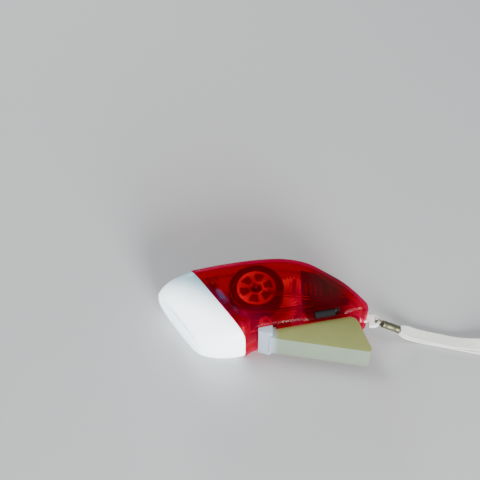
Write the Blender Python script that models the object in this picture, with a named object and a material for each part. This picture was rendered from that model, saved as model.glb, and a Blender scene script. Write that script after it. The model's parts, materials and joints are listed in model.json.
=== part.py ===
"""Hand-squeezed dynamo torch with three LEDs, a side lever and a wrist strap, at real size in metres.

It lies on its flat side: +X runs to the strap, +Y to the curved spine, +Z up through its thickness.
The origin is at the middle of the resting face, below the middle of the body without its strap.
"""

import math

import bmesh
import bpy
from mathutils import Matrix, Vector

MM = 0.001
GAP = 0.3 * MM  # between pieces that touch
RUNNING = 0.15 * MM  # between a shaft and what turns on it

# Housing
TAIL_REACH = 50 * MM  # from the origin to the tip of the tail
THICKNESS = 25 * MM
SPINE_REACH = 25 * MM  # from the middle line to the crown of the spine
WALL = 1.8 * MM
EDGE_IN = 3.4 * MM  # how far the rounded edge comes in, seen from above
EDGE_DOWN = 6 * MM  # how far it comes down the side
TAIL_RADIUS = 3.6 * MM
GRIP_EDGE_Y = -14.6 * MM  # where the lever side's straight edge crosses X = 0
GRIP_EDGE_ANGLE = math.radians(11.1)
# The spine's outline from its crown to the bezel: shares of the way to the rim and of the rise from it
SPINE_FRONT = ((0.187, 0.8355), (0.4945, 0.579), (0.748, 0.309))
# From the tail to its crown: shares of the tail's reach and of the spine's
SPINE_REAR = (
    (0.9, 0.222),
    (0.782, 0.458),
    (0.61, 0.70),
    (0.47, 0.872),
    (0.33, 0.962),
    (0.182, 1.0),
    (0.05, 0.991),
)

# Head: the bezel's rim is a slanted plane, and its depth runs forward from it
RIM_X = -21.3 * MM
RIM_Y = -0.3 * MM
RIM_SLANT = math.radians(35.8)
RIM_HALF_WIDTH = 22.8 * MM
FRONT_HALF_WIDTH = 17.2 * MM
FRONT_HALF_HEIGHT = 8.4 * MM
HEAD_DEPTH = 18.3 * MM
HEAD_SKEW = -5.85 * MM  # the front's shift towards the spine
BEZEL_WALL = 1.6 * MM
RIM_SQUARENESS = 5.5
LENS_THICKNESS = 1.6 * MM
LENS_DOME = 1.6 * MM
LENS_LIP = 1.3 * MM

# Lamps
LED_RADIUS = 2.5 * MM
LED_LENGTH = 8.6 * MM
LED_COUNT = 3
LED_SPACING = 9.4 * MM
LED_ROW_SHIFT = -4.6 * MM  # of the middle lamp, towards the spine
CUP_MOUTH_RADIUS = 4.5 * MM
LAMP_BOARD_THICKNESS = 1.2 * MM
LAMP_BOARD_BACK = 3.4 * MM  # behind the rim plane
LAMP_BOARD_HALF_HEIGHT = 8.2 * MM

# Gear train
MODULE = 0.6 * MM
PRESSURE_ANGLE = math.radians(25)
ADDENDUM = 0.8  # in modules
DEDENDUM = 1.1
BACKLASH = 0.09 * MM
RACK_TEETH = 76  # on the full circle about the pivot
PINION_TEETH = 10
WHEEL_TEETH = 30
SHAFT_RADIUS = 0.8 * MM
RACK_WIDTH = 2.4 * MM
RACK_THICKNESS = 2.1 * MM
WHEEL_THICKNESS = 1.6 * MM
FIRST_SHARE = 0.66  # the first shaft's place between the lever's pivot and the spine's wall
GEAR_STEP = 0.4 * MM  # free height between neighbouring wheels

# Generator
ROTOR_X = -2.8 * MM
FLYWHEEL_ROOM = 1.45 * MM  # between the flywheel and the spine's wall
FLYWHEEL_RADIUS = 13.1 * MM
FLYWHEEL_RIM = 1.2 * MM
FLYWHEEL_FLOOR = 1.0 * MM
ROOF_ROOM = 1.5 * MM  # above the flywheel, for the wires that cross it
MAGNET_THICKNESS = 1.8 * MM
POLE_THICKNESS = 0.6 * MM
POLE_FINGERS = 6
STATOR_SPIGOT_RADIUS = 2.6 * MM

# Lever
PIVOT_X = 1.5 * MM
PIVOT_Y = -9.8 * MM
LEVER_TRAVEL = math.radians(12)
LEVER_INSET = 5.5 * MM  # from each flat side of the torch
LEVER_STANCE = 25.35 * MM  # of its rear corner from the middle line
LEVER_HEEL_RADIUS = 1.4 * MM
LEVER_WALL = 1.6 * MM
LEVER_PIN_RADIUS = 1.0 * MM
KNUCKLE_RADIUS = 3.1 * MM
KNUCKLE_INSET = 2.5 * MM
SPRING_WIRE = 0.8 * MM
SPRING_PITCH = 1.35 * MM
SPRING_COILS = 3

# Electrics
BOARD_THICKNESS = 1.0 * MM
CELL_RADIUS = 4.5 * MM
CELL_HEIGHT = 7.4 * MM
CAPACITOR_RADIUS = 2.0 * MM
CAPACITOR_HEIGHT = 6.0 * MM
DIODE_RADIUS = 0.75 * MM
DIODE_LENGTH = 3.6 * MM
DIODE_COUNT = 4
DIODE_PITCH = 2.3 * MM
KNOB_LENGTH = 9.4 * MM
KNOB_WIDTH = 3.0 * MM
KNOB_TRAVEL = 4 * MM
KNOB_PROUD = 0.5 * MM
LAMP_WIRE = 0.8 * MM
COIL_WIRE = 0.6 * MM

# Screws
POST_RADIUS = 2.7 * MM
SCREW_RADIUS = 0.9 * MM
SCREW_HEAD_RADIUS = 1.6 * MM
SCREW_HEAD_HEIGHT = 1.2 * MM
SCREW_LENGTH = 14 * MM

# Strap
LUG_THICKNESS = 1.9 * MM
LUG_WIDTH = 6.2 * MM
LUG_END_X = 55.8 * MM
STRAP_PIN_RADIUS = 0.75 * MM
EYE_WIRE = 0.8 * MM
CRIMP_RADIUS = 1.8 * MM
CRIMP_START = Vector((57.2, -4.6, 10.3)) * MM
CRIMP_END = Vector((65.6, -5.3, 5.9)) * MM
STRAP_WIDTH = 6 * MM
STRAP_THICKNESS = 1.1 * MM
# Route of the wrist loop from the crimp and back: x, y, z in mm, twist from flat in degrees,
# share of the full width
STRAP_ROUTE = (
    (66.25, -5.33, 6.35, 0, 0.5),
    (69.3, -5.6, 4.75, 0, 0.8),
    (72.8, -6.0, 3.2, 0, 1),
    (77.0, -6.8, 2.35, 0, 1),
    (84.0, -8.4, 2.15, 0, 1),
    (93.0, -10.4, 2.15, 0, 1),
    (102.0, -11.9, 3.1, 10, 1),
    (111.0, -12.2, 3.2, 45, 1),
    (121.0, -11.0, 3.15, 80, 1),
    (136.0, -7.6, 3.1, 90, 1),
    (154.0, -3.8, 3.1, 90, 1),
    (171.0, -1.6, 3.1, 90, 1),
    (185.0, -2.4, 3.1, 90, 1),
    (196.0, -7.6, 3.1, 90, 1),
    (201.5, -17.0, 3.1, 90, 1),
    (197.0, -26.6, 3.1, 90, 1),
    (186.5, -31.9, 3.1, 90, 1),
    (171.0, -32.4, 3.1, 90, 1),
    (154.0, -29.0, 3.1, 90, 1),
    (136.0, -23.6, 3.1, 90, 1),
    (121.0, -17.8, 3.15, 100, 1),
    (111.0, -14.9, 2.9, 135, 1),
    (102.0, -12.6, 0.95, 175, 1),
    (93.0, -10.4, 0.65, 180, 1),
    (84.0, -8.4, 0.65, 180, 1),
    (76.5, -6.8, 0.75, 180, 1),
    (71.6, -6.0, 1.75, 180, 1),
    (68.2, -5.6, 3.4, 180, 0.8),
    (65.6, -5.33, 4.9, 180, 0.5),
)

MIDDLE_Z = THICKNESS / 2
FLOOR_Z = WALL
CEILING_Z = THICKNESS - WALL
UP = Vector((0, 0, 1))


# Materials
def finish(name, colour, roughness, metallic=0.0, alpha=1.0, transmission=0.0):
    """A Principled material with the given colour and gloss."""
    material = bpy.data.materials.new(name)
    material.use_nodes = True
    shader = material.node_tree.nodes["Principled BSDF"]
    shader.inputs["Base Color"].default_value = (*colour, 1)
    shader.inputs["Roughness"].default_value = roughness
    shader.inputs["Metallic"].default_value = metallic
    shader.inputs["Alpha"].default_value = alpha
    shader.inputs["Transmission Weight"].default_value = transmission
    material.diffuse_color = (*colour, alpha)
    return material


def make_finishes():
    """Every finish of the torch, by name."""
    return {
        "red_shell": finish("red_shell", (0.55, 0.01, 0.03), 0.12, alpha=0.55, transmission=0.6),
        "ice_white": finish("ice_white", (0.86, 0.93, 0.97), 0.3),
        "clear": finish("clear", (0.95, 0.97, 1.0), 0.04, alpha=0.3, transmission=0.9),
        "mirror": finish("mirror", (0.9, 0.91, 0.92), 0.08, metallic=1),
        "lamp": finish("lamp", (0.92, 0.96, 1.0), 0.15),
        "board_green": finish("board_green", (0.02, 0.12, 0.05), 0.4),
        "grey_plastic": finish("grey_plastic", (0.55, 0.58, 0.52), 0.45),
        "steel": finish("steel", (0.6, 0.6, 0.62), 0.25, metallic=1),
        "gear_white": finish("gear_white", (0.88, 0.87, 0.82), 0.4),
        "dark_steel": finish("dark_steel", (0.12, 0.12, 0.13), 0.35, metallic=1),
        "ferrite": finish("ferrite", (0.03, 0.03, 0.035), 0.6),
        "copper": finish("copper", (0.72, 0.3, 0.12), 0.3, metallic=1),
        "black_plastic": finish("black_plastic", (0.02, 0.02, 0.02), 0.35),
        "cell_sleeve": finish("cell_sleeve", (0.05, 0.2, 0.42), 0.35),
        "diode_glass": finish("diode_glass", (0.5, 0.14, 0.05), 0.15),
        "wire_red": finish("wire_red", (0.6, 0.02, 0.02), 0.4),
        "wire_black": finish("wire_black", (0.02, 0.02, 0.02), 0.4),
        "strap_white": finish("strap_white", (0.9, 0.9, 0.87), 0.8),
        "nickel": finish("nickel", (0.66, 0.62, 0.52), 0.3, metallic=1),
    }


# Plan geometry
def circle(centre, radius, count=20, start=0.0):
    """Points of a circle in plan, counter-clockwise."""
    return [
        (
            centre[0] + radius * math.cos(start + 2 * math.pi * i / count),
            centre[1] + radius * math.sin(start + 2 * math.pi * i / count),
        )
        for i in range(count)
    ]


def arc(centre, radius, start, end, count):
    """Points along a plan arc from one angle to another, both ends included."""
    return [
        (
            centre[0] + radius * math.cos(start + (end - start) * i / count),
            centre[1] + radius * math.sin(start + (end - start) * i / count),
        )
        for i in range(count + 1)
    ]


def smooth_through(points, steps):
    """A Catmull-Rom curve through the points, in any number of dimensions."""
    points = [Vector(p) for p in points]
    padded = [2 * points[0] - points[1], *points, 2 * points[-1] - points[-2]]
    curve = []
    for before, here, there, after in zip(padded, padded[1:], padded[2:], padded[3:]):
        for i in range(steps):
            t = i / steps
            curve.append(
                0.5
                * (
                    2 * here
                    + (there - before) * t
                    + (2 * before - 5 * here + 4 * there - after) * t**2
                    + (3 * here - before - 3 * there + after) * t**3
                )
            )
    return [*curve, points[-1]]


def filleted(corners, steps=4):
    """A closed plan outline from corners (x, y, radius), each rounded by its radius."""
    outline = []
    for i, (x, y, radius) in enumerate(corners):
        here = Vector((x, y))
        to_last = (Vector(corners[i - 1][:2]) - here).normalized()
        to_next = (Vector(corners[(i + 1) % len(corners)][:2]) - here).normalized()
        if radius <= 0:
            outline.append((x, y))
            continue
        half = to_last.angle(to_next) / 2
        inside = (to_last + to_next).normalized()
        centre = here + inside * (radius / math.sin(half))
        first = here + to_last * (radius / math.tan(half)) - centre
        last = here + to_next * (radius / math.tan(half)) - centre
        turn = first.angle_signed(last)
        for k in range(steps + 1):
            outline.append(tuple(centre + Matrix.Rotation(-turn * k / steps, 2) @ first))
    return outline


def inset(outline, distance):
    """A closed counter-clockwise outline moved inwards all round."""
    moved = []
    for i, point in enumerate(outline):
        here = Vector(point)
        before = (here - Vector(outline[i - 1])).normalized()
        after = (Vector(outline[(i + 1) % len(outline)]) - here).normalized()
        normal = Vector((-before.y - after.y, before.x + after.x)).normalized()
        stretch = 1 / max(0.5, normal.dot(Vector((-before.y, before.x))))
        moved.append(tuple(here + normal * distance * stretch))
    return moved


def polar(centre, radius, angle):
    """A plan point at a distance and direction from a centre."""
    return (centre[0] + radius * math.cos(angle), centre[1] + radius * math.sin(angle))


def direction(start, end):
    """The plan angle from one point to another."""
    return math.atan2(end[1] - start[1], end[0] - start[0])


# Solids
def add_object(name, mesh_or_curve, material, guide=False):
    """Puts a datablock into the scene under a name."""
    made = bpy.data.objects.new(name, mesh_or_curve)
    bpy.context.scene.collection.objects.link(made)
    if guide:
        made.hide_render = True
        made.display_type = "WIRE"
    else:
        mesh_or_curve.materials.append(material)
    return made


def finish_mesh(name, bm, material=None, sharp=30):
    """Turns a bmesh into an object with outward faces; without a material it is a guide."""
    bmesh.ops.recalc_face_normals(bm, faces=bm.faces)
    mesh = bpy.data.meshes.new(name)
    bm.to_mesh(mesh)
    bm.free()
    mesh.shade_smooth()
    mesh.set_sharp_from_angle(angle=math.radians(sharp))
    return add_object(name, mesh, material, guide=material is None)


def ring_edges(ring):
    """The edges that join a closed ring of vertices."""
    wanted = []
    for a, b in zip(ring, ring[1:] + ring[:1]):
        shared = [e for e in a.link_edges if b in e.verts]
        wanted += shared
    return wanted


def skin(bm, lower, upper):
    """Quads between two rings with as many vertices."""
    for i in range(len(lower)):
        j = (i + 1) % len(lower)
        bm.faces.new((lower[i], lower[j], upper[j], upper[i]))


def fill_between(bm, *rings):
    """Flat faces over the region between rings, or a plain cap over one ring."""
    if len(rings) == 1:
        bm.faces.new(rings[0])
        return
    edges = []
    for ring in rings:
        for a, b in zip(ring, ring[1:] + ring[:1]):
            edges.append(bm.edges.get((a, b)) or bm.edges.new((a, b)))
    bmesh.ops.triangle_fill(bm, use_beauty=True, use_dissolve=False, edges=edges, normal=UP)


def add_stack(bm, levels):
    """Adds flat layers (outer outline, hole outline or None, low z, high z), each resting on the last.

    A layer that repeats the outline object of the one below runs on through it without an edge.
    """
    made = {}

    def ring(outline, z):
        key = (id(outline), round(z, 9))
        if key not in made:
            made[key] = [bm.verts.new((x, y, z)) for x, y in outline]
        return made[key]

    for outer, hole, low, high in levels:
        skin(bm, ring(outer, low), ring(outer, high))
        if hole is not None:
            skin(bm, ring(hole, high), ring(hole, low))
    first, last = levels[0], levels[-1]
    fill_between(bm, *[ring(o, first[2]) for o in first[:2] if o is not None])
    fill_between(bm, *[ring(o, last[3]) for o in last[:2] if o is not None])
    for below, above in zip(levels, levels[1:]):
        z = above[2]
        if below[0] is not above[0]:
            fill_between(bm, ring(below[0], z), ring(above[0], z))
        if below[1] is not above[1]:
            fill_between(bm, *[ring(o, z) for o in (below[1], above[1]) if o is not None])


def stack(name, levels, material=None, axis=None):
    """An object of flat layers; a moving one has its origin on its axis."""
    bm = bmesh.new()
    add_stack(bm, levels)
    made = finish_mesh(name, bm, material)
    return on_axis(made, axis) if axis else made


def prism(name, outline, low, high, material=None, axis=None):
    """An upright prism over a plan outline."""
    return stack(name, [(outline, None, low, high)], material, axis)


def on_axis(made, axis):
    """Moves an object's origin to a plan point, leaving its shape where it is."""
    shift = Vector((axis[0], axis[1], 0))
    made.data.transform(Matrix.Translation(-shift))
    made.location = shift
    return made


def add_loft(bm, rings, closed=False):
    """Skins rings of places in order; the ends are capped, or joined when closed."""
    made = [[bm.verts.new(p) for p in ring] for ring in rings]
    for lower, upper in zip(made, made[1:]):
        skin(bm, lower, upper)
    if closed:
        skin(bm, made[-1], made[0])
    else:
        bm.faces.new(made[0])
        bm.faces.new(made[-1])


def loft(name, rings, material=None, closed=False, sharp=30):
    """An object skinned over rings of places."""
    bm = bmesh.new()
    add_loft(bm, rings, closed)
    return finish_mesh(name, bm, material, sharp)


def turned_rings(start, along, profile, count=16):
    """Rings of a turned piece: profile gives (distance along, radius)."""
    along = Vector(along).normalized()
    side = along.orthogonal().normalized()
    other = along.cross(side)
    return [
        [
            Vector(start)
            + along * distance
            + (side * math.cos(2 * math.pi * i / count) + other * math.sin(2 * math.pi * i / count))
            * radius
            for i in range(count)
        ]
        for distance, radius in profile
    ]


def box_at(name, centre, half_sizes, turn):
    """A guide box with its own turned axes."""
    bm = bmesh.new()
    bmesh.ops.create_cube(bm, size=2)
    bmesh.ops.transform(
        bm, matrix=Matrix.LocRotScale(centre, turn, Vector(half_sizes)), verts=bm.verts
    )
    return finish_mesh(name, bm)


def combine(target, guide, operation="DIFFERENCE"):
    """Cuts a guide out of an object, or joins it on."""
    modifier = target.modifiers.new(guide.name, "BOOLEAN")
    modifier.operation = operation
    modifier.solver = "EXACT"
    modifier.object = guide


def tube(name, points, thickness, material, resolution=2, flat_width=0.0):
    """A cord, wire or strap: points hold place, twist in radians and share of full width."""
    curve = bpy.data.curves.new(name, "CURVE")
    curve.dimensions = "3D"
    curve.twist_mode = "Z_UP"
    curve.fill_mode = "FULL"
    curve.use_fill_caps = True
    curve.bevel_depth = thickness / 2
    curve.bevel_resolution = resolution
    curve.render_resolution_u = 0
    if flat_width:
        curve.extrude = (flat_width - thickness) / 2
    spline = curve.splines.new("POLY")
    spline.points.add(len(points) - 1)
    for point, (place, twist, share) in zip(spline.points, points):
        point.co = (*place, 1)
        point.tilt = twist
        point.radius = share
    return add_object(name, curve, material)


def wire(name, route, thickness, material, steps=3):
    """A round wire along a smooth curve through its route, given in mm."""
    smooth = smooth_through([Vector(p) * MM for p in route], steps)
    return tube(name, [(p, 0, 1) for p in smooth], thickness, material)


# Gears
def tooth_flank(teeth, module, root, tip, points=3):
    """(radius, half angle) pairs up one flank of an involute tooth, root to tip."""
    pitch = module * teeth / 2
    base = pitch * math.cos(PRESSURE_ANGLE)

    def unwound(radius):
        cosine = min(1.0, base / radius)
        angle = math.acos(cosine)
        return math.tan(angle) - angle

    at_pitch = math.pi / (2 * teeth) - BACKLASH / 2 / pitch
    flank = []
    low = max(root, base)
    for i in range(points):
        radius = low + (tip - low) * i / (points - 1)
        flank.append((radius, at_pitch + unwound(pitch) - unwound(radius)))
    if root < base:
        flank.insert(0, (root, flank[0][1]))
    return flank


def tooth_run(centre, teeth, first_angle, count):
    """Plan points over a run of external teeth, counter-clockwise from the first tooth's angle."""
    pitch = MODULE * teeth / 2
    flank = tooth_flank(teeth, MODULE, pitch - DEDENDUM * MODULE, pitch + ADDENDUM * MODULE)
    points = []
    for k in range(count):
        middle = first_angle + 2 * math.pi * k / teeth
        points += [polar(centre, radius, middle - half) for radius, half in flank]
        points += [polar(centre, radius, middle + half) for radius, half in reversed(flank)]
    return points


def gear_outline(centre, teeth, tooth_angle):
    """A whole external gear with one tooth pointing along tooth_angle."""
    return tooth_run(centre, teeth, tooth_angle, teeth)


def gap_angle(teeth, angle):
    """The tooth angle that leaves a gap between teeth pointing along an angle."""
    return angle + math.pi / teeth


PIVOT = (PIVOT_X, PIVOT_Y)
FIRST_REACH = MODULE * (RACK_TEETH + PINION_TEETH) / 2
PAIR_REACH = MODULE * (WHEEL_TEETH + PINION_TEETH) / 2


def spine_inside(x):
    """Y of the inner face of the spine's wall at x, by the stations round its crown."""
    crown = SPINE_REAR[5][0] * TAIL_REACH
    return SPINE_REACH * (1 - 0.2 * ((x - crown) / TAIL_REACH) ** 2) - WALL


def first_axis():
    """The first shaft's place, at the rack's reach from the pivot and its share of the way to the spine."""
    rise = FIRST_SHARE * (spine_inside(PIVOT_X + 0.56 * FIRST_REACH) - PIVOT_Y)
    return polar(PIVOT, FIRST_REACH, math.asin(rise / FIRST_REACH))


ROTOR_AXIS = (ROTOR_X, spine_inside(ROTOR_X) - FLYWHEEL_ROOM - FLYWHEEL_RADIUS)
FIRST_AXIS = first_axis()
SPAN = math.dist(FIRST_AXIS, ROTOR_AXIS)
SECOND_AXIS = polar(
    FIRST_AXIS, PAIR_REACH, direction(FIRST_AXIS, ROTOR_AXIS) + math.acos(SPAN / 2 / PAIR_REACH)
)
WHEEL_TIP = MODULE * (WHEEL_TEETH / 2 + ADDENDUM)

# Heights of the train, from the lever's floor upwards
LEVER_LOW = LEVER_INSET
LEVER_HIGH = THICKNESS - LEVER_INSET
RACK_LOW = LEVER_LOW + LEVER_WALL + GAP
RACK_HIGH = RACK_LOW + RACK_THICKNESS
FIRST_LOW = RACK_LOW - 0.2 * MM
FIRST_WHEEL_LOW = RACK_HIGH + GEAR_STEP
FIRST_WHEEL_HIGH = FIRST_WHEEL_LOW + WHEEL_THICKNESS
SECOND_LOW = FIRST_WHEEL_LOW - 0.2 * MM
SECOND_WHEEL_LOW = FIRST_WHEEL_HIGH + GEAR_STEP
SECOND_WHEEL_HIGH = SECOND_WHEEL_LOW + WHEEL_THICKNESS
ROTOR_LOW = SECOND_WHEEL_LOW - 0.2 * MM
FLYWHEEL_LOW = SECOND_WHEEL_HIGH + 2 * GAP
FLYWHEEL_INSIDE_Z = FLYWHEEL_LOW + FLYWHEEL_FLOOR
FLYWHEEL_HIGH = CEILING_Z - ROOF_ROOM
SHAFT_FOOT_Z = FLOOR_Z + 0.8 * MM
SHAFT_HOLE = SHAFT_RADIUS + RUNNING
AXLE_POST_RADIUS = 2.4 * MM

# Where the screws stand
SCREW_PLACES = (
    (-8.4 * MM, -9.0 * MM),
    (-23.6 * MM, 14.6 * MM),
    (TAIL_REACH - 14.4 * MM, 8.1 * MM),
)
STRAP_POST = (TAIL_REACH - 2 * MM, -2.4 * MM)
STRAP_POST_RADIUS = 1.9 * MM
STRAP_POST_LOW = EDGE_DOWN - 1.4 * MM  # below it the shell's rounded edge comes in over the post
STRAP_POST_HIGH = THICKNESS - STRAP_POST_LOW
LUG_HIGH = MIDDLE_Z - GAP
LUG_LOW = LUG_HIGH - LUG_THICKNESS

# The circuit board lies just above the lever's travel
BOARD_LOW = LEVER_HIGH + 0.4 * MM
BOARD_HIGH = BOARD_LOW + BOARD_THICKNESS


def grip_edge(x):
    """Y of the housing's straight lever-side edge at x."""
    return GRIP_EDGE_Y + x * math.tan(GRIP_EDGE_ANGLE)


def head_place(depth, across, height):
    """A place in the head: depth forward of the rim plane, across it towards the lever, height about mid."""
    forward = Vector((-math.cos(RIM_SLANT), -math.sin(RIM_SLANT), 0))
    sideways = Vector((math.sin(RIM_SLANT), -math.cos(RIM_SLANT), 0))
    return (
        Vector((RIM_X, RIM_Y, MIDDLE_Z)) + forward * depth + sideways * across + UP * height
    )


# Housing
def housing_outline():
    """The housing seen from above, counter-clockwise, with a spare front that the rim plane cuts off."""
    tail_x = TAIL_REACH - TAIL_RADIUS
    tail = (tail_x, grip_edge(tail_x) + TAIL_RADIUS / math.cos(GRIP_EDGE_ANGLE))
    corner = head_place(0, 0.25 * MM - RIM_HALF_WIDTH, 0)
    spine = [(x * TAIL_REACH, y * SPINE_REACH) for x, y in SPINE_REAR]
    spine += [(x * corner.x, corner.y + y * (SPINE_REACH - corner.y)) for x, y in SPINE_FRONT]
    spine.append((corner.x, corner.y))
    arrive = direction(spine[1], spine[0])
    round_tail = arc(tail, TAIL_RADIUS, GRIP_EDGE_ANGLE - math.pi / 2, arrive + math.pi / 2, 7)
    spine_curve = [tuple(p) for p in smooth_through(spine, 3)]
    spare = 14 * MM
    ahead = (Vector(spine_curve[-1]) - Vector(spine_curve[-2])).normalized()
    spare_spine = tuple(Vector(spine_curve[-1]) + ahead * spare)
    spare_grip = tuple(head_place(spare, RIM_HALF_WIDTH + 0.1 * MM, 0).xy)
    grip_front_x = PIVOT_X - 4.5 * MM
    strip = [
        tuple(head_place(0, RIM_HALF_WIDTH, 0).xy),
        (grip_front_x, grip_edge(grip_front_x) - 0.4 * MM),
        (PIVOT_X + 4 * MM, grip_edge(PIVOT_X + 4 * MM)),
    ]
    strip_curve = [tuple(p) for p in smooth_through(strip, 3)]
    return [*strip_curve, *round_tail, *spine_curve, spare_spine, spare_grip]


def shell_rings(outline, side, split_gap):
    """Rings from the split up the outside, over the top, and back down the inside."""
    outside, inside = [], []
    straight = THICKNESS / 2 - EDGE_DOWN
    cavity = inset(outline, WALL)
    for low, (shape, edge_in, edge_down, rings) in enumerate(
        (
            (outline, EDGE_IN, EDGE_DOWN, outside),
            (cavity, EDGE_IN - WALL, EDGE_DOWN - WALL, inside),
        )
    ):
        heights = [(split_gap, 0.0), (straight, 0.0)]
        for step in (1, 2, 3):
            angle = math.radians(30 * step)
            heights.append(
                (straight + edge_down * math.sin(angle), edge_in * (1 - math.cos(angle)))
            )
        for height, inwards in heights:
            plan = inset(shape, inwards) if inwards else shape
            rings.append([Vector((x, y, MIDDLE_Z + side * height)) for x, y in plan])
    return outside, inside


def shell(name, side, material):
    """One half of the housing, closed at the top and open at the split."""
    outside, inside = shell_rings(housing_outline(), side, GAP / 2)
    bm = bmesh.new()
    add_loft(bm, [*reversed(outside), *inside])
    return finish_mesh(name, bm, material)


def post_guide(name, posts):
    """One guide of several upright round posts: (centre, radius, low, high)."""
    bm = bmesh.new()
    for centre, radius, low, high in posts:
        add_stack(bm, [(circle(centre, radius, 16), None, low, high)])
    return finish_mesh(name, bm)


def front_guide():
    """Everything forward of the rim plane."""
    corners = [(-GAP, -60 * MM), (-GAP, 60 * MM), (60 * MM, 60 * MM), (60 * MM, -60 * MM)]
    outline = [tuple(head_place(depth, across, 0).xy) for depth, across in corners]
    return prism("front_guide", outline, -10 * MM, THICKNESS + 10 * MM)


def mouth_end_x():
    """Where the lever's slot in the housing ends, at the tail's rounding."""
    return TAIL_REACH - TAIL_RADIUS + TAIL_RADIUS * math.sin(GRIP_EDGE_ANGLE) + 0.2 * MM


def mouth_guide():
    """The slot in the lever-side wall that the lever moves through, and its taller part at the knuckle."""
    bm = bmesh.new()
    outwards, inwards = -12 * MM, WALL + 1.0 * MM
    slot = (PIVOT_X + 2 * MM, mouth_end_x())
    knuckle = (PIVOT_X - 4.1 * MM, PIVOT_X + 4.7 * MM)
    outline = [
        (slot[0], grip_edge(slot[0]) + outwards),
        (slot[1], grip_edge(slot[1]) + outwards),
        (slot[1], grip_edge(slot[1]) + inwards),
        (slot[0], grip_edge(slot[0]) + inwards),
    ]
    add_stack(bm, [(outline, None, LEVER_LOW - GAP, LEVER_HIGH + GAP)])
    guide = finish_mesh("mouth_guide", bm)
    room = KNUCKLE_INSET - GAP
    tall = [
        (knuckle[0], PIVOT_Y - 20 * MM),
        (knuckle[1], PIVOT_Y - 20 * MM),
        (knuckle[1], PIVOT_Y),
        (knuckle[0], PIVOT_Y),
    ]
    knuckle_guide = prism("knuckle_guide", tall, room, THICKNESS - room)
    return guide, knuckle_guide


def switch_frame():
    """Place and turn of the switch slot on the rounded upper edge: X along it, Z out of it."""
    slot_x = TAIL_REACH - 18.9 * MM
    round_angle = math.radians(55.4)
    inwards = EDGE_IN * (1 - math.cos(round_angle))
    centre = Vector(
        (
            slot_x,
            grip_edge(slot_x) + inwards / math.cos(GRIP_EDGE_ANGLE),
            THICKNESS - EDGE_DOWN * (1 - math.sin(round_angle)),
        )
    )
    tilt = math.atan2(math.cos(round_angle) / EDGE_IN, math.sin(round_angle) / EDGE_DOWN)
    turn = Matrix.Rotation(GRIP_EDGE_ANGLE, 3, "Z") @ Matrix.Rotation(tilt, 3, "X")
    return centre, turn


def screw_well_z():
    """Height of the recessed seat that a screw's head pulls against."""
    return SCREW_HEAD_HEIGHT + 0.6 * MM


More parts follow.
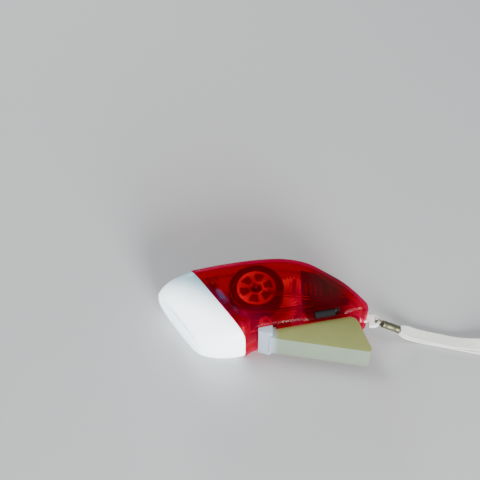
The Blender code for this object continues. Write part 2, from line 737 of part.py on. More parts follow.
def make_housing(looks):
    """Both shells with their posts, bores, lever slot, switch slot and front opening."""
    bottom = shell("housing_bottom", -1, looks["red_shell"])
    top = shell("housing_top", 1, looks["red_shell"])
    sink = 0.6 * MM
    bottom_posts = [(p, POST_RADIUS, FLOOR_Z - sink, MIDDLE_Z - GAP / 2) for p in SCREW_PLACES]
    bottom_posts += [
        (FIRST_AXIS, AXLE_POST_RADIUS, FLOOR_Z - sink, FIRST_LOW - GAP),
        (SECOND_AXIS, AXLE_POST_RADIUS, FLOOR_Z - sink, SECOND_LOW - GAP),
        (ROTOR_AXIS, AXLE_POST_RADIUS, FLOOR_Z - sink, ROTOR_LOW - GAP),
        (STRAP_POST, STRAP_POST_RADIUS, STRAP_POST_LOW, MIDDLE_Z - GAP / 2),
    ]
    top_posts = [(p, POST_RADIUS, MIDDLE_Z + GAP / 2, CEILING_Z + sink) for p in SCREW_PLACES]
    top_posts += [
        (FIRST_AXIS, AXLE_POST_RADIUS, FIRST_WHEEL_HIGH + GEAR_STEP, CEILING_Z + sink),
        (ROTOR_AXIS, STATOR_SPIGOT_RADIUS, FLYWHEEL_INSIDE_Z + GEAR_STEP, CEILING_Z + sink),
        (STRAP_POST, STRAP_POST_RADIUS, MIDDLE_Z + GAP / 2, STRAP_POST_HIGH),
    ]
    combine(bottom, post_guide("bottom_posts", bottom_posts), "UNION")
    combine(top, post_guide("top_posts", top_posts), "UNION")
    mouth, knuckle = mouth_guide()
    front = front_guide()
    for half in (bottom, top):
        combine(half, front)
        combine(half, mouth)
        combine(half, knuckle)

    past_split = MIDDLE_Z + 2 * MM
    screw_hole = SCREW_RADIUS + GAP
    pin_hole = LEVER_PIN_RADIUS + RUNNING
    bottom_bores = [(p, screw_hole, -1 * MM, past_split) for p in SCREW_PLACES]
    bottom_bores += [(a, SHAFT_HOLE, SHAFT_FOOT_Z - GAP, past_split) for a in shaft_axes()]
    bottom_bores += [
        (PIVOT, pin_hole, 0.6 * MM, past_split),
        (STRAP_POST, STRAP_PIN_RADIUS + RUNNING, STRAP_POST_LOW + 1 * MM, past_split),
    ]
    below_split = MIDDLE_Z - 2 * MM
    top_bores = [(p, screw_hole, below_split, screw_top_z() + GAP) for p in SCREW_PLACES]
    top_bores += [
        (a, SHAFT_HOLE, below_split, shaft_top_z() + GAP) for a in (FIRST_AXIS, ROTOR_AXIS)
    ]
    top_bores += [
        (PIVOT, pin_hole, below_split, THICKNESS - 0.6 * MM),
        (STRAP_POST, STRAP_PIN_RADIUS + RUNNING, below_split, STRAP_POST_HIGH - 1 * MM),
    ]
    combine(bottom, post_guide("bottom_bores", bottom_bores))
    combine(top, post_guide("top_bores", top_bores))
    heads = [(p, SCREW_HEAD_RADIUS + GAP, -1 * MM, screw_well_z() + GAP) for p in SCREW_PLACES]
    combine(bottom, post_guide("head_wells", heads))

    lug_slot = [
        (STRAP_POST[0] - 3 * MM, STRAP_POST[1] - 2.1 * MM),
        (TAIL_REACH + 3 * MM, STRAP_POST[1] - 2.4 * MM),
        (TAIL_REACH + 3 * MM, STRAP_POST[1] + 2.2 * MM),
        (STRAP_POST[0] - 3 * MM, STRAP_POST[1] + 2.2 * MM),
    ]
    combine(bottom, prism("lug_slot", lug_slot, LUG_LOW - GAP, past_split))
    centre, turn = switch_frame()
    slot_half = (KNOB_LENGTH + KNOB_TRAVEL) / 2 + 0.5 * MM
    slot_guide = box_at(
        "switch_slot", centre, (slot_half, KNOB_WIDTH / 2 + GAP, 3.2 * MM), turn.to_quaternion()
    )
    combine(top, slot_guide)


def shaft_axes():
    """Plan places of the three gear shafts."""
    return FIRST_AXIS, SECOND_AXIS, ROTOR_AXIS


def shaft_top_z():
    """Top of the shafts that reach the upper shell."""
    return CEILING_Z - 0.8 * MM


def screw_top_z():
    """Tip of the housing screws."""
    return screw_well_z() + SCREW_LENGTH


def make_screws(looks):
    """The screws that hold the shells together, driven from the resting side."""
    for number, place in enumerate(SCREW_PLACES, 1):
        seat = screw_well_z()
        head = circle(place, SCREW_HEAD_RADIUS, 14)
        shank = circle(place, SCREW_RADIUS, 10)
        levels = [(head, None, seat - SCREW_HEAD_HEIGHT, seat), (shank, None, seat, screw_top_z())]
        stack(f"housing_screw_{number}", levels, looks["steel"])


# Head
def head_section(depth, wall=0.0):
    """Half width, half height and shift of the bezel's section at a depth, less a wall."""
    share = min(1.0, max(0.0, depth / HEAD_DEPTH))
    closing = 1 - (1 - share**2.2) ** 0.6
    half_width = RIM_HALF_WIDTH - (RIM_HALF_WIDTH - FRONT_HALF_WIDTH) * closing - wall
    half_height = THICKNESS / 2 - (THICKNESS / 2 - FRONT_HALF_HEIGHT) * closing - wall
    return half_width, half_height, HEAD_SKEW * share


def head_ring(depth, wall=0.0, count=40, squareness=None, plane=None):
    """A ring of places round the head's section at a depth, laid in another plane if one is given."""
    half_width, half_height, shift = head_section(depth, wall)
    power = 2 / (squareness or head_squareness(depth))
    ring = []
    for i in range(count):
        angle = 2 * math.pi * (i + 0.5) / count
        c, s = math.cos(angle), math.sin(angle)
        across = math.copysign(abs(c) ** power, c) * half_width + shift
        height = math.copysign(abs(s) ** power, s) * half_height
        ring.append(head_place(depth if plane is None else plane, across, height))
    return ring


def head_squareness(depth):
    """The section is squarish at the rim and nearly oval at the front."""
    share = min(1.0, max(0.0, depth / HEAD_DEPTH))
    return RIM_SQUARENESS + (2.6 - RIM_SQUARENESS) * share


def make_bezel(looks):
    """The pale cap round the lamps, with a tongue that enters the housing and a lip round the lens."""
    depths = (0, 4, 8, 11, 13.6, 15.6, 16.9, 17.6)
    outer = [head_ring(d / 17.6 * HEAD_DEPTH) for d in depths]
    lip_back = HEAD_DEPTH - BEZEL_WALL
    front_lip = head_ring(HEAD_DEPTH, LENS_LIP)
    back_lip = head_ring(HEAD_DEPTH, LENS_LIP, plane=lip_back)
    inner_depths = (15.2, 12.6, 9, 4.5, 0)
    inner = [head_ring(d / 17.6 * HEAD_DEPTH, BEZEL_WALL) for d in inner_depths]
    inner.insert(0, head_ring(lip_back * 0.98, BEZEL_WALL + 0.2 * MM, plane=lip_back))
    tongue_out = WALL + 2 * GAP
    tongue_in = tongue_out + 0.8 * MM
    tongue_end = -1.6 * MM
    taper = 0.8 * MM
    tongue = [
        head_ring(0, tongue_in + taper, squareness=3, plane=tongue_end),
        head_ring(0, tongue_out + taper, squareness=3, plane=tongue_end),
        head_ring(0, tongue_out, squareness=3),
    ]
    inner[-1] = head_ring(0, tongue_in, squareness=3)
    loft("bezel", [*outer, front_lip, back_lip, *inner, *tongue], looks["ice_white"], closed=True)


def make_lens(looks):
    """The domed clear window, with a flange behind the bezel's lip."""
    lip_back = HEAD_DEPTH - BEZEL_WALL
    flange = 0.9 * MM
    fit = LENS_LIP + GAP
    back = lip_back - GAP - flange
    rings = [
        head_ring(HEAD_DEPTH, fit + 3 * MM, plane=back),
        head_ring(HEAD_DEPTH, fit - 0.7 * MM, plane=back),
        head_ring(HEAD_DEPTH, fit - 0.7 * MM, plane=lip_back - GAP),
        head_ring(HEAD_DEPTH, fit, plane=lip_back - GAP),
        head_ring(HEAD_DEPTH, fit, plane=HEAD_DEPTH),
        head_ring(HEAD_DEPTH, fit + 2.2 * MM, plane=HEAD_DEPTH + 0.62 * LENS_DOME),
        head_ring(HEAD_DEPTH, fit + 5.2 * MM, plane=HEAD_DEPTH + LENS_DOME),
    ]
    loft("lens", rings, looks["clear"])


def lamp_places():
    """Across positions of the lamps."""
    middle = (LED_COUNT - 1) / 2
    return [LED_ROW_SHIFT + LED_SPACING * (i - middle) for i in range(LED_COUNT)]


def make_lamps(looks):
    """The lamp board, its LEDs and the mirrored reflector in front of them."""
    board_front = -LAMP_BOARD_BACK + LAMP_BOARD_THICKNESS
    half_width = LED_SPACING * (LED_COUNT - 1) / 2 + LED_RADIUS + 1.1 * MM
    oval = [(x * half_width, y * LAMP_BOARD_HALF_HEIGHT) for x, y in circle((0, 0), 1, 24)]
    rings = [
        [head_place(depth, LED_ROW_SHIFT + across, height) for across, height in oval]
        for depth in (-LAMP_BOARD_BACK, board_front)
    ]
    loft("lamp_board", rings, looks["board_green"])

    forward = head_place(1, 0, 0) - head_place(0, 0, 0)
    start = board_front + GAP
    length = LED_LENGTH
    profile = [
        (0, LED_RADIUS + 0.4 * MM),
        (0.9 * MM, LED_RADIUS + 0.4 * MM),
        (0.9 * MM, LED_RADIUS),
        (length - LED_RADIUS, LED_RADIUS),
        (length - 0.6 * LED_RADIUS, 0.9 * LED_RADIUS),
        (length - 0.22 * LED_RADIUS, 0.6 * LED_RADIUS),
        (length, 0.15 * LED_RADIUS),
    ]
    for number, across in enumerate(lamp_places(), 1):
        rings = turned_rings(head_place(start, across, 0), forward, profile, 14)
        loft(f"led_{number}", rings, looks["lamp"])

    plate_front = HEAD_DEPTH - BEZEL_WALL - 2 * GAP - 0.9 * MM
    plate_back = plate_front - 1.2 * MM
    clear = BEZEL_WALL + GAP
    plate = [head_ring(d, clear + 0.5 * MM) for d in (plate_back, plate_front)]
    reflector = loft("reflector", plate, looks["mirror"])
    cup_back = start + 0.9 * MM + GAP
    throat = LED_RADIUS + GAP
    wall = 0.5 * MM
    insides = bmesh.new()
    depth = plate_front - cup_back
    for number, across in enumerate(lamp_places(), 1):
        foot = head_place(cup_back, across, 0)
        spread = [(0, throat), (0.3, 0.5), (0.62, 0.8), (1.0, 1.0)]
        radii = [
            (share * depth, throat + (CUP_MOUTH_RADIUS - throat) * (grow if share else 0))
            for share, grow in spread
        ]
        outer = [(d, r + wall) for d, r in radii[:-1]]
        outer.append((depth - 0.6 * MM, radii[-1][1] * 0.97 + wall))
        inner = [(-1 * MM, throat), *radii[:-1], (depth + 0.5 * MM, CUP_MOUTH_RADIUS)]
        combine(reflector, loft(f"cup_{number}", turned_rings(foot, forward, outer, 16)), "UNION")
        add_loft(insides, turned_rings(foot, forward, inner, 16))
    combine(reflector, finish_mesh("cup_insides", insides))


# Lever
def lever_outline():
    """The squeeze lever seen from above."""
    rear, front = TAIL_REACH - 6.5 * MM, PIVOT_X + 3.5 * MM
    return filleted(
        [
            (*lever_nose(), 0.8 * MM),
            (*lever_heel(), LEVER_HEEL_RADIUS),
            (rear, grip_edge(rear) + 0.9 * MM, 5.5 * MM),
            (front, grip_edge(front) + 1.6 * MM, 0.6 * MM),
        ]
    )


def lever_nose():
    """The outer front corner of the lever."""
    return (PIVOT_X + 0.9 * MM, PIVOT_Y - 7.7 * MM)


def lever_heel():
    """The outer rear corner of the lever."""
    return (TAIL_REACH + 0.8 * MM, -LEVER_STANCE)


def make_lever(looks):
    """The hollow lever with its knuckle on the pivot pin."""
    lever = prism("lever", lever_outline(), LEVER_LOW, LEVER_HIGH, looks["grey_plastic"])
    knuckle_low, knuckle_high = KNUCKLE_INSET, THICKNESS - KNUCKLE_INSET
    front = PIVOT_X - 3.6 * MM
    ear = filleted(
        [
            (front, PIVOT_Y - 5.9 * MM, 0.6 * MM),
            (PIVOT_X + 1.7 * MM, PIVOT_Y - 7.5 * MM, 0.6 * MM),
            (PIVOT_X + KNUCKLE_RADIUS, PIVOT_Y - 6.6 * MM, 0.4 * MM),
            (PIVOT_X + KNUCKLE_RADIUS, PIVOT_Y + 0.4 * MM, KNUCKLE_RADIUS * 0.95),
            (PIVOT_X - KNUCKLE_RADIUS, PIVOT_Y + 3.1 * MM, KNUCKLE_RADIUS * 0.9),
        ]
    )
    combine(lever, prism("knuckle_body", ear, knuckle_low, knuckle_high), "UNION")
    wall = LEVER_WALL
    nose, heel = lever_nose(), lever_heel()
    outer_slope = math.tan(direction(nose, heel))
    near, far = PIVOT_X + 7 * MM, heel[0] - 3.2 * MM
    edge = TAIL_REACH - 8.7 * MM
    hollow = [
        (near, nose[1] + (near - nose[0]) * outer_slope + wall * 1.02),
        (far, heel[1] + wall * 1.3),
        (edge, grip_edge(edge) - 0.8 * MM),
        (edge, grip_edge(edge) + 6 * MM),
        (near, grip_edge(near) + 6 * MM),
    ]
    combine(lever, prism("lever_hollow", hollow, LEVER_LOW + wall, LEVER_HIGH - wall))
    spring_room = [
        (PIVOT_X - 5 * MM, PIVOT_Y - 4.4 * MM),
        (PIVOT_X + 7.5 * MM, PIVOT_Y - 6.8 * MM),
        (PIVOT_X + 7.5 * MM, PIVOT_Y + 5 * MM),
        (PIVOT_X - 5 * MM, PIVOT_Y + 5 * MM),
    ]
    low, high = spring_span()
    combine(lever, prism("spring_room", spring_room, low - GAP, high + GAP))
    bores = [(PIVOT, LEVER_PIN_RADIUS + RUNNING, -1 * MM, THICKNESS + 1 * MM)]
    bores += [(rack_screw_place(), 0.8 * MM + GAP, LEVER_LOW + 0.5 * MM, RACK_LOW)]
    combine(lever, post_guide("lever_bores", bores))
    on_axis(lever, PIVOT)

    pin = circle(PIVOT, LEVER_PIN_RADIUS, 16)
    prism("lever_pin", pin, 0.8 * MM, THICKNESS - 0.8 * MM, looks["steel"])


def spring_span():
    """Lowest and highest z of the return spring's coil."""
    middle = MIDDLE_Z + 3.4 * MM
    half = (SPRING_COILS * SPRING_PITCH + SPRING_WIRE) / 2
    return middle - half, middle + half


def make_spring(looks):
    """The torsion spring round the lever pin, one leg in the lever and one on the housing wall."""
    low, high = spring_span()
    radius = LEVER_PIN_RADIUS + 0.35 * MM + SPRING_WIRE / 2
    start_z, end_z = low + SPRING_WIRE / 2, high - SPRING_WIRE / 2
    leg_in = Vector((PIVOT_X + 9.5 * MM, PIVOT_Y - 6.1 * MM, start_z - 0.1 * MM))
    leg_out = Vector((PIVOT_X - 7.1 * MM, PIVOT_Y - 3.8 * MM, end_z + 0.1 * MM))
    first_angle = direction(PIVOT, leg_in) - math.pi / 2
    last_angle = direction(PIVOT, leg_out) + math.pi / 2 - 2 * math.pi * SPRING_COILS
    count = 10 * SPRING_COILS
    coil = []
    for i in range(count + 1):
        angle = first_angle + (last_angle - first_angle) * i / count
        x, y = polar(PIVOT, radius, angle)
        coil.append(Vector((x, y, start_z + (end_z - start_z) * i / count)))
    points = [leg_in, coil[0].lerp(leg_in, 0.4), *coil, coil[-1].lerp(leg_out, 0.5), leg_out]
    tube("lever_spring", [(p, 0, 1) for p in points], SPRING_WIRE, looks["steel"], resolution=1)
    report_gap("lever_spring", coil, SPRING_WIRE, 8)


def report_gap(name, points, thickness, apart):
    """Prints a wound wire's least gap to itself, between points that aren't neighbours."""
    least = min(
        (points[i] - points[j]).length
        for i in range(len(points))
        for j in range(i + apart, len(points))
    )
    print(f"{name}: least gap to itself {1000 * (least - thickness):.2f} mm")


def rack_screw_place():
    """Where the rack's foot is screwed to the lever's floor."""
    return polar(PIVOT, MODULE * RACK_TEETH / 2 - 2.2 * MM, math.radians(-12))


def make_rack(looks):
    """The toothed arc that the lever swings past the first pinion."""
    pitch = MODULE * RACK_TEETH / 2
    step = 2 * math.pi / RACK_TEETH
    root = pitch - DEDENDUM * MODULE
    inside = root - RACK_WIDTH
    first = direction(PIVOT, FIRST_AXIS) - 5 * step
    teeth = tooth_run(PIVOT, RACK_TEETH, first, 8)
    tip_angle = first + 7.6 * step
    foot_start, foot_end = math.radians(-18), math.radians(-5)
    outline = [
        *arc(PIVOT, root + 0.8 * MM, foot_start, foot_end, 3),
        *arc(PIVOT, root, foot_end + 0.04, first - 0.6 * step, 8),
        *teeth,
        *arc(PIVOT, root, tip_angle, tip_angle + 0.4 * step, 1),
        *arc(PIVOT, inside, tip_angle + 0.4 * step, foot_end + 0.04, 14),
        *arc(PIVOT, inside - 1.4 * MM, foot_end, foot_start, 3),
    ]
    hole = circle(rack_screw_place(), 0.8 * MM + GAP, 12)
    stack("drive_rack", [(outline, hole, RACK_LOW, RACK_HIGH)], looks["gear_white"], PIVOT)
    place = rack_screw_place()
    shank, head = circle(place, 0.8 * MM, 10), circle(place, 1.5 * MM, 12)
    levels = [
        (shank, None, LEVER_LOW + 0.8 * MM, RACK_HIGH + GAP),
        (head, None, RACK_HIGH + GAP, RACK_HIGH + GAP + 1.0 * MM),
    ]
    stack("rack_screw", levels, looks["steel"], PIVOT)


# Gear train and generator
def make_train(looks):
    """The two compound gears on their shafts, each a pinion under a wheel."""
    bore = SHAFT_HOLE
    to_second = direction(FIRST_AXIS, SECOND_AXIS)
    to_rotor = direction(SECOND_AXIS, ROTOR_AXIS)
    first_pinion = gear_outline(
        FIRST_AXIS, PINION_TEETH, gap_angle(PINION_TEETH, direction(PIVOT, FIRST_AXIS) + math.pi)
    )
    first_wheel = gear_outline(FIRST_AXIS, WHEEL_TEETH, to_second)
    second_pinion = gear_outline(
        SECOND_AXIS, PINION_TEETH, gap_angle(PINION_TEETH, to_second + math.pi)
    )
    second_wheel = gear_outline(SECOND_AXIS, WHEEL_TEETH, to_rotor)
    hole = circle(FIRST_AXIS, bore, 12)
    levels = [
        (first_pinion, hole, FIRST_LOW, FIRST_WHEEL_LOW),
        (first_wheel, hole, FIRST_WHEEL_LOW, FIRST_WHEEL_HIGH),
    ]
    stack("first_gear", levels, looks["gear_white"], FIRST_AXIS)
    hole = circle(SECOND_AXIS, bore, 12)
    levels = [
        (second_pinion, hole, SECOND_LOW, SECOND_WHEEL_LOW),
        (second_wheel, hole, SECOND_WHEEL_LOW, SECOND_WHEEL_HIGH),
    ]
    stack("second_gear", levels, looks["gear_white"], SECOND_AXIS)
    tops = (shaft_top_z(), SECOND_WHEEL_HIGH + GAP, shaft_top_z())
    for name, axis, top in zip(("first", "second", "rotor"), shaft_axes(), tops):
        outline = circle(axis, SHAFT_RADIUS, 12)
        prism(f"{name}_shaft", outline, SHAFT_FOOT_Z, top, looks["steel"])


def make_rotor(looks):
    """The flywheel cup on its pinion, and the ring magnet inside its rim."""
    to_rotor = direction(SECOND_AXIS, ROTOR_AXIS)
    pinion = gear_outline(
        ROTOR_AXIS, PINION_TEETH, gap_angle(PINION_TEETH, to_rotor + math.pi)
    )
    bore = circle(ROTOR_AXIS, SHAFT_HOLE, 12)
    outside = circle(ROTOR_AXIS, FLYWHEEL_RADIUS, 36)
    inside = circle(ROTOR_AXIS, FLYWHEEL_RADIUS - FLYWHEEL_RIM, 36)
    levels = [
        (pinion, bore, ROTOR_LOW, FLYWHEEL_LOW),
        (outside, bore, FLYWHEEL_LOW, FLYWHEEL_INSIDE_Z),
        (outside, inside, FLYWHEEL_INSIDE_Z, FLYWHEEL_HIGH),
    ]
    stack("flywheel", levels, looks["dark_steel"], ROTOR_AXIS)
    magnet_out = FLYWHEEL_RADIUS - FLYWHEEL_RIM - GAP
    rings = (
        circle(ROTOR_AXIS, magnet_out, 32),
        circle(ROTOR_AXIS, magnet_out - MAGNET_THICKNESS, 32),
    )
    low, high = FLYWHEEL_INSIDE_Z + GAP, FLYWHEEL_HIGH - 0.2 * MM
    stack("ring_magnet", [(*rings, low, high)], looks["ferrite"], ROTOR_AXIS)


def pole_radius():
    """Outer radius of the stator's pole fingers."""
    return FLYWHEEL_RADIUS - FLYWHEEL_RIM - GAP - MAGNET_THICKNESS - 0.4 * MM


def make_stator(looks):
    """The fixed coil on the upper shell's spigot, between two plates with interleaved pole fingers."""
    low = FLYWHEEL_INSIDE_Z + 0.6 * MM
    high = FLYWHEEL_HIGH + 0.1 * MM
    outer = pole_radius()
    bore = circle(ROTOR_AXIS, STATOR_SPIGOT_RADIUS + GAP, 16)
    disc = circle(ROTOR_AXIS, outer, 36)
    inside = circle(ROTOR_AXIS, outer - POLE_THICKNESS, 36)
    reach = high - low - POLE_THICKNESS - GAP
    lower = [
        (disc, bore, low, low + POLE_THICKNESS),
        (disc, inside, low + POLE_THICKNESS, low + reach),
    ]
    upper = [
        (disc, inside, high - reach, high - POLE_THICKNESS),
        (disc, bore, high - POLE_THICKNESS, high),
    ]
    plates = (
        ("lower_pole_plate", lower, low + POLE_THICKNESS, high, 0),
        ("upper_pole_plate", upper, low, high - POLE_THICKNESS, math.pi / POLE_FINGERS),
    )
    for name, levels, cut_low, cut_high, turn in plates:
        plate = stack(name, levels, looks["steel"])
        notches = bmesh.new()
        for k in range(POLE_FINGERS):
            middle = turn + 2 * math.pi * k / POLE_FINGERS
            half = math.pi / POLE_FINGERS * 0.62
            notch = [
                *arc(ROTOR_AXIS, outer + 1 * MM, middle - half, middle + half, 6),
                *arc(ROTOR_AXIS, outer - POLE_THICKNESS - 0.2 * MM, middle + half, middle - half, 6),
            ]
            add_stack(notches, [(notch, None, cut_low, cut_high)])
        combine(plate, finish_mesh(f"{name}_notches", notches))

    flange = 0.5 * MM
    flange_radius = outer - POLE_THICKNESS - GAP
    core = circle(ROTOR_AXIS, STATOR_SPIGOT_RADIUS + GAP + 0.9 * MM, 20)
    flange_ring = circle(ROTOR_AXIS, flange_radius, 28)
    base = low + POLE_THICKNESS + GAP
    top = high - POLE_THICKNESS - GAP
    levels = [
        (flange_ring, bore, base, base + flange),
        (core, bore, base + flange, top - flange),
        (circle(ROTOR_AXIS, flange_radius, 28), bore, top - flange, top),
    ]
    stack("bobbin", levels, looks["gear_white"])
    coil_in = circle(ROTOR_AXIS, STATOR_SPIGOT_RADIUS + 2 * GAP + 0.9 * MM, 20)
    coil_out = circle(ROTOR_AXIS, flange_radius - 0.5 * MM, 28)
    stack(
        "winding",
        [(coil_out, coil_in, base + flange + GAP, top - flange - GAP)],
        looks["copper"],
    )


# Electrics
def cell_place():
    """Plan place of the storage cell, ahead of the rear screw's post."""
    return (SCREW_PLACES[2][0] - POST_RADIUS - GAP - CELL_RADIUS - 0.2 * MM, 8.9 * MM)


def make_board(looks):
    """The circuit board with its rectifier diodes, capacitor, storage cell and slide switch."""
    front = FIRST_AXIS[0] + AXLE_POST_RADIUS + 0.8 * MM
    rear = TAIL_REACH - 9.2 * MM
    centre, turn = switch_frame()
    along = turn @ Vector((1, 0, 0))
    tongue_front, tongue_rear = centre.x - 5 * MM, centre.x + 5 * MM
    inner, outer = 6.4 * MM, 2.7 * MM  # of the grip edge
    post_x, post_y = SCREW_PLACES[2]
    shy = POST_RADIUS + 2 * GAP
    outline = [
        (front, grip_edge(front) + inner),
        (tongue_front, grip_edge(tongue_front) + inner),
        (tongue_front, grip_edge(tongue_front) + outer),
        (tongue_rear, grip_edge(tongue_rear) + outer),
        (tongue_rear, grip_edge(tongue_rear) + inner),
        (rear, grip_edge(rear) + inner),
        (rear, post_y - 1.6 * shy),
        (post_x - 0.5 * shy, post_y - 1.2 * shy),
        (post_x - 1.1 * shy, post_y - 0.4 * shy),
        (post_x - 1.35 * shy, post_y + 1.1 * shy),
        (front + 0.6 * (post_x - 1.35 * shy - front), spine_inside(front) - 6.2 * MM),
        (front, spine_inside(front) - 4.3 * MM),
    ]
    prism("circuit_board", outline, BOARD_LOW, BOARD_HIGH, looks["board_green"])

    for number in range(DIODE_COUNT):
        place = (front + (1.8 + number) * DIODE_PITCH - 2 * MM, ROTOR_AXIS[1] - 2.4 * MM)
        start = Vector((*place, BOARD_HIGH + GAP + DIODE_RADIUS))
        profile = [
            (0, 0.7 * DIODE_RADIUS),
            (0.3 * MM, DIODE_RADIUS),
            (DIODE_LENGTH - 0.3 * MM, DIODE_RADIUS),
            (DIODE_LENGTH, 0.7 * DIODE_RADIUS),
        ]
        loft(f"diode_{number + 1}", turned_rings(start, (0, 1, 0), profile, 10), looks["diode_glass"])

    capacitor_top = BOARD_LOW - GAP
    can = circle((front + 3.1 * MM, 0.7 * MM), CAPACITOR_RADIUS, 16)
    prism("capacitor", can, capacitor_top - CAPACITOR_HEIGHT, capacitor_top, looks["black_plastic"])

    cell = cell_place()
    body = circle(cell, CELL_RADIUS, 24)
    terminal = circle(cell, 0.5 * CELL_RADIUS, 16)
    base = FLOOR_Z + GAP
    levels = [
        (body, None, base, base + CELL_HEIGHT - 0.4 * MM),
        (terminal, None, base + CELL_HEIGHT - 0.4 * MM, base + CELL_HEIGHT),
    ]
    stack("storage_cell", levels, looks["cell_sleeve"])

    aside = Vector((-along.y, along.x, 0))
    knob_inner = 1.5 * MM
    body_half = 3.6 * MM
    foot = Vector((centre.x, grip_edge(centre.x) + 4.15 * MM, 0))
    outline = [
        tuple((foot + along * a * body_half + aside * b * 1.05 * MM).xy)
        for a, b in ((-1, -1), (1, -1), (1, 1), (-1, 1))
    ]
    prism("switch_body", outline, BOARD_HIGH + GAP, BOARD_HIGH + 1.6 * MM, looks["steel"])

    half = KNOB_LENGTH / 2
    rest = -KNOB_TRAVEL / 2
    section = [
        (-KNOB_WIDTH / 2, -knob_inner),
        (KNOB_WIDTH / 2, -knob_inner),
        (KNOB_WIDTH / 2, KNOB_PROUD - 0.6 * MM),
        (KNOB_WIDTH / 2 - 0.7 * MM, KNOB_PROUD - 0.1 * MM),
        (-KNOB_WIDTH / 2 + 0.7 * MM, KNOB_PROUD - 0.1 * MM),
        (-KNOB_WIDTH / 2, KNOB_PROUD - 0.5 * MM),
    ]
    rings = [
        [centre + turn @ Vector((x, y, z)) for y, z in section] for x in (rest - half, rest + half)
    ]
    knob = loft("switch_knob", rings, looks["black_plastic"])
    place = centre + along * rest
    knob.data.transform(Matrix.Translation(-place))
    knob.location = place


def make_wires(looks):
    """The leads that run inside the housing."""
    over_board = (BOARD_HIGH + GAP + LAMP_WIRE / 2) / MM
    high = (CEILING_Z - 0.35 * MM - LAMP_WIRE / 2) / MM
    board_front = (FIRST_AXIS[0] + AXLE_POST_RADIUS + 0.8 * MM) / MM
    board_end = ROTOR_AXIS[1] / MM - 10
    for name, aside in (("lamp_wire_red", 0.0), ("lamp_wire_black", 1.3)):
        across = (4.6 - aside) * MM
        end = head_place(-LAMP_BOARD_BACK - GAP - LAMP_WIRE / 2, across, 5 * MM) / MM
        under_roof = CEILING_Z - 1.3 * MM - MIDDLE_Z
        near_end = head_place(-6 * MM, across + 4.2 * MM, under_roof) / MM
        route = [
            (board_front + 5.3, board_end + aside, over_board),
            (board_front + 1.6, board_end - 0.8 + aside, over_board + 0.1),
            (16.5, board_end - 2 + aside, high - 0.1),
            (8.0, (board_end - 8.8) / 2 + aside, high),
            (0.0, -5.4 + aside, high),
            (-7.0, -5.0 + aside, high),
            tuple(near_end),
            tuple(end),
        ]
        wire(name, route, LAMP_WIRE, looks["wire_red" if aside == 0 else "wire_black"])

    coil_z = (FLYWHEEL_HIGH + 0.1 * MM + GAP + COIL_WIRE / 2) / MM
    x, y = ROTOR_AXIS[0] / MM, ROTOR_AXIS[1] / MM
    on_board = (BOARD_HIGH + GAP + COIL_WIRE / 2) / MM
    for number, aside in enumerate((0.0, 1.5), 1):
        route = [
            (x + 5.5, y - 1.5 - aside, coil_z),
            (x + 10, y - 3.0 - aside, coil_z),
            (x + 15, y - 4.0 - aside, coil_z),
            (x + 20, y - 4.6 - aside, coil_z),
            (board_front + 1.5, y - 4.8 - aside, on_board + 0.15),
            (board_front + 3.5, y - 4.8 - aside, on_board),
        ]
        wire(f"coil_wire_{number}", route, COIL_WIRE, looks["copper"])

    cell_top = (FLOOR_Z + GAP + CELL_HEIGHT + GAP) / MM
    board_under = (BOARD_LOW - GAP) / MM
    cell = Vector(cell_place()) / MM
    for name, px, py, look in (
        ("cell_wire_red", cell.x + 1.4, cell.y - 0.3, "wire_red"),
        ("cell_wire_black", cell.x + 3.2, cell.y + 2.3, "wire_black"),
    ):
        low = cell_top if look == "wire_red" else cell_top - 0.4
        route = [(px, py, low), (px + 0.5, py, low + 3), (px + 0.7, py - 0.4, board_under - 3.5)]
        route.append((px + 0.2, py - 0.6, board_under))
        wire(name, route, LAMP_WIRE, looks[look])


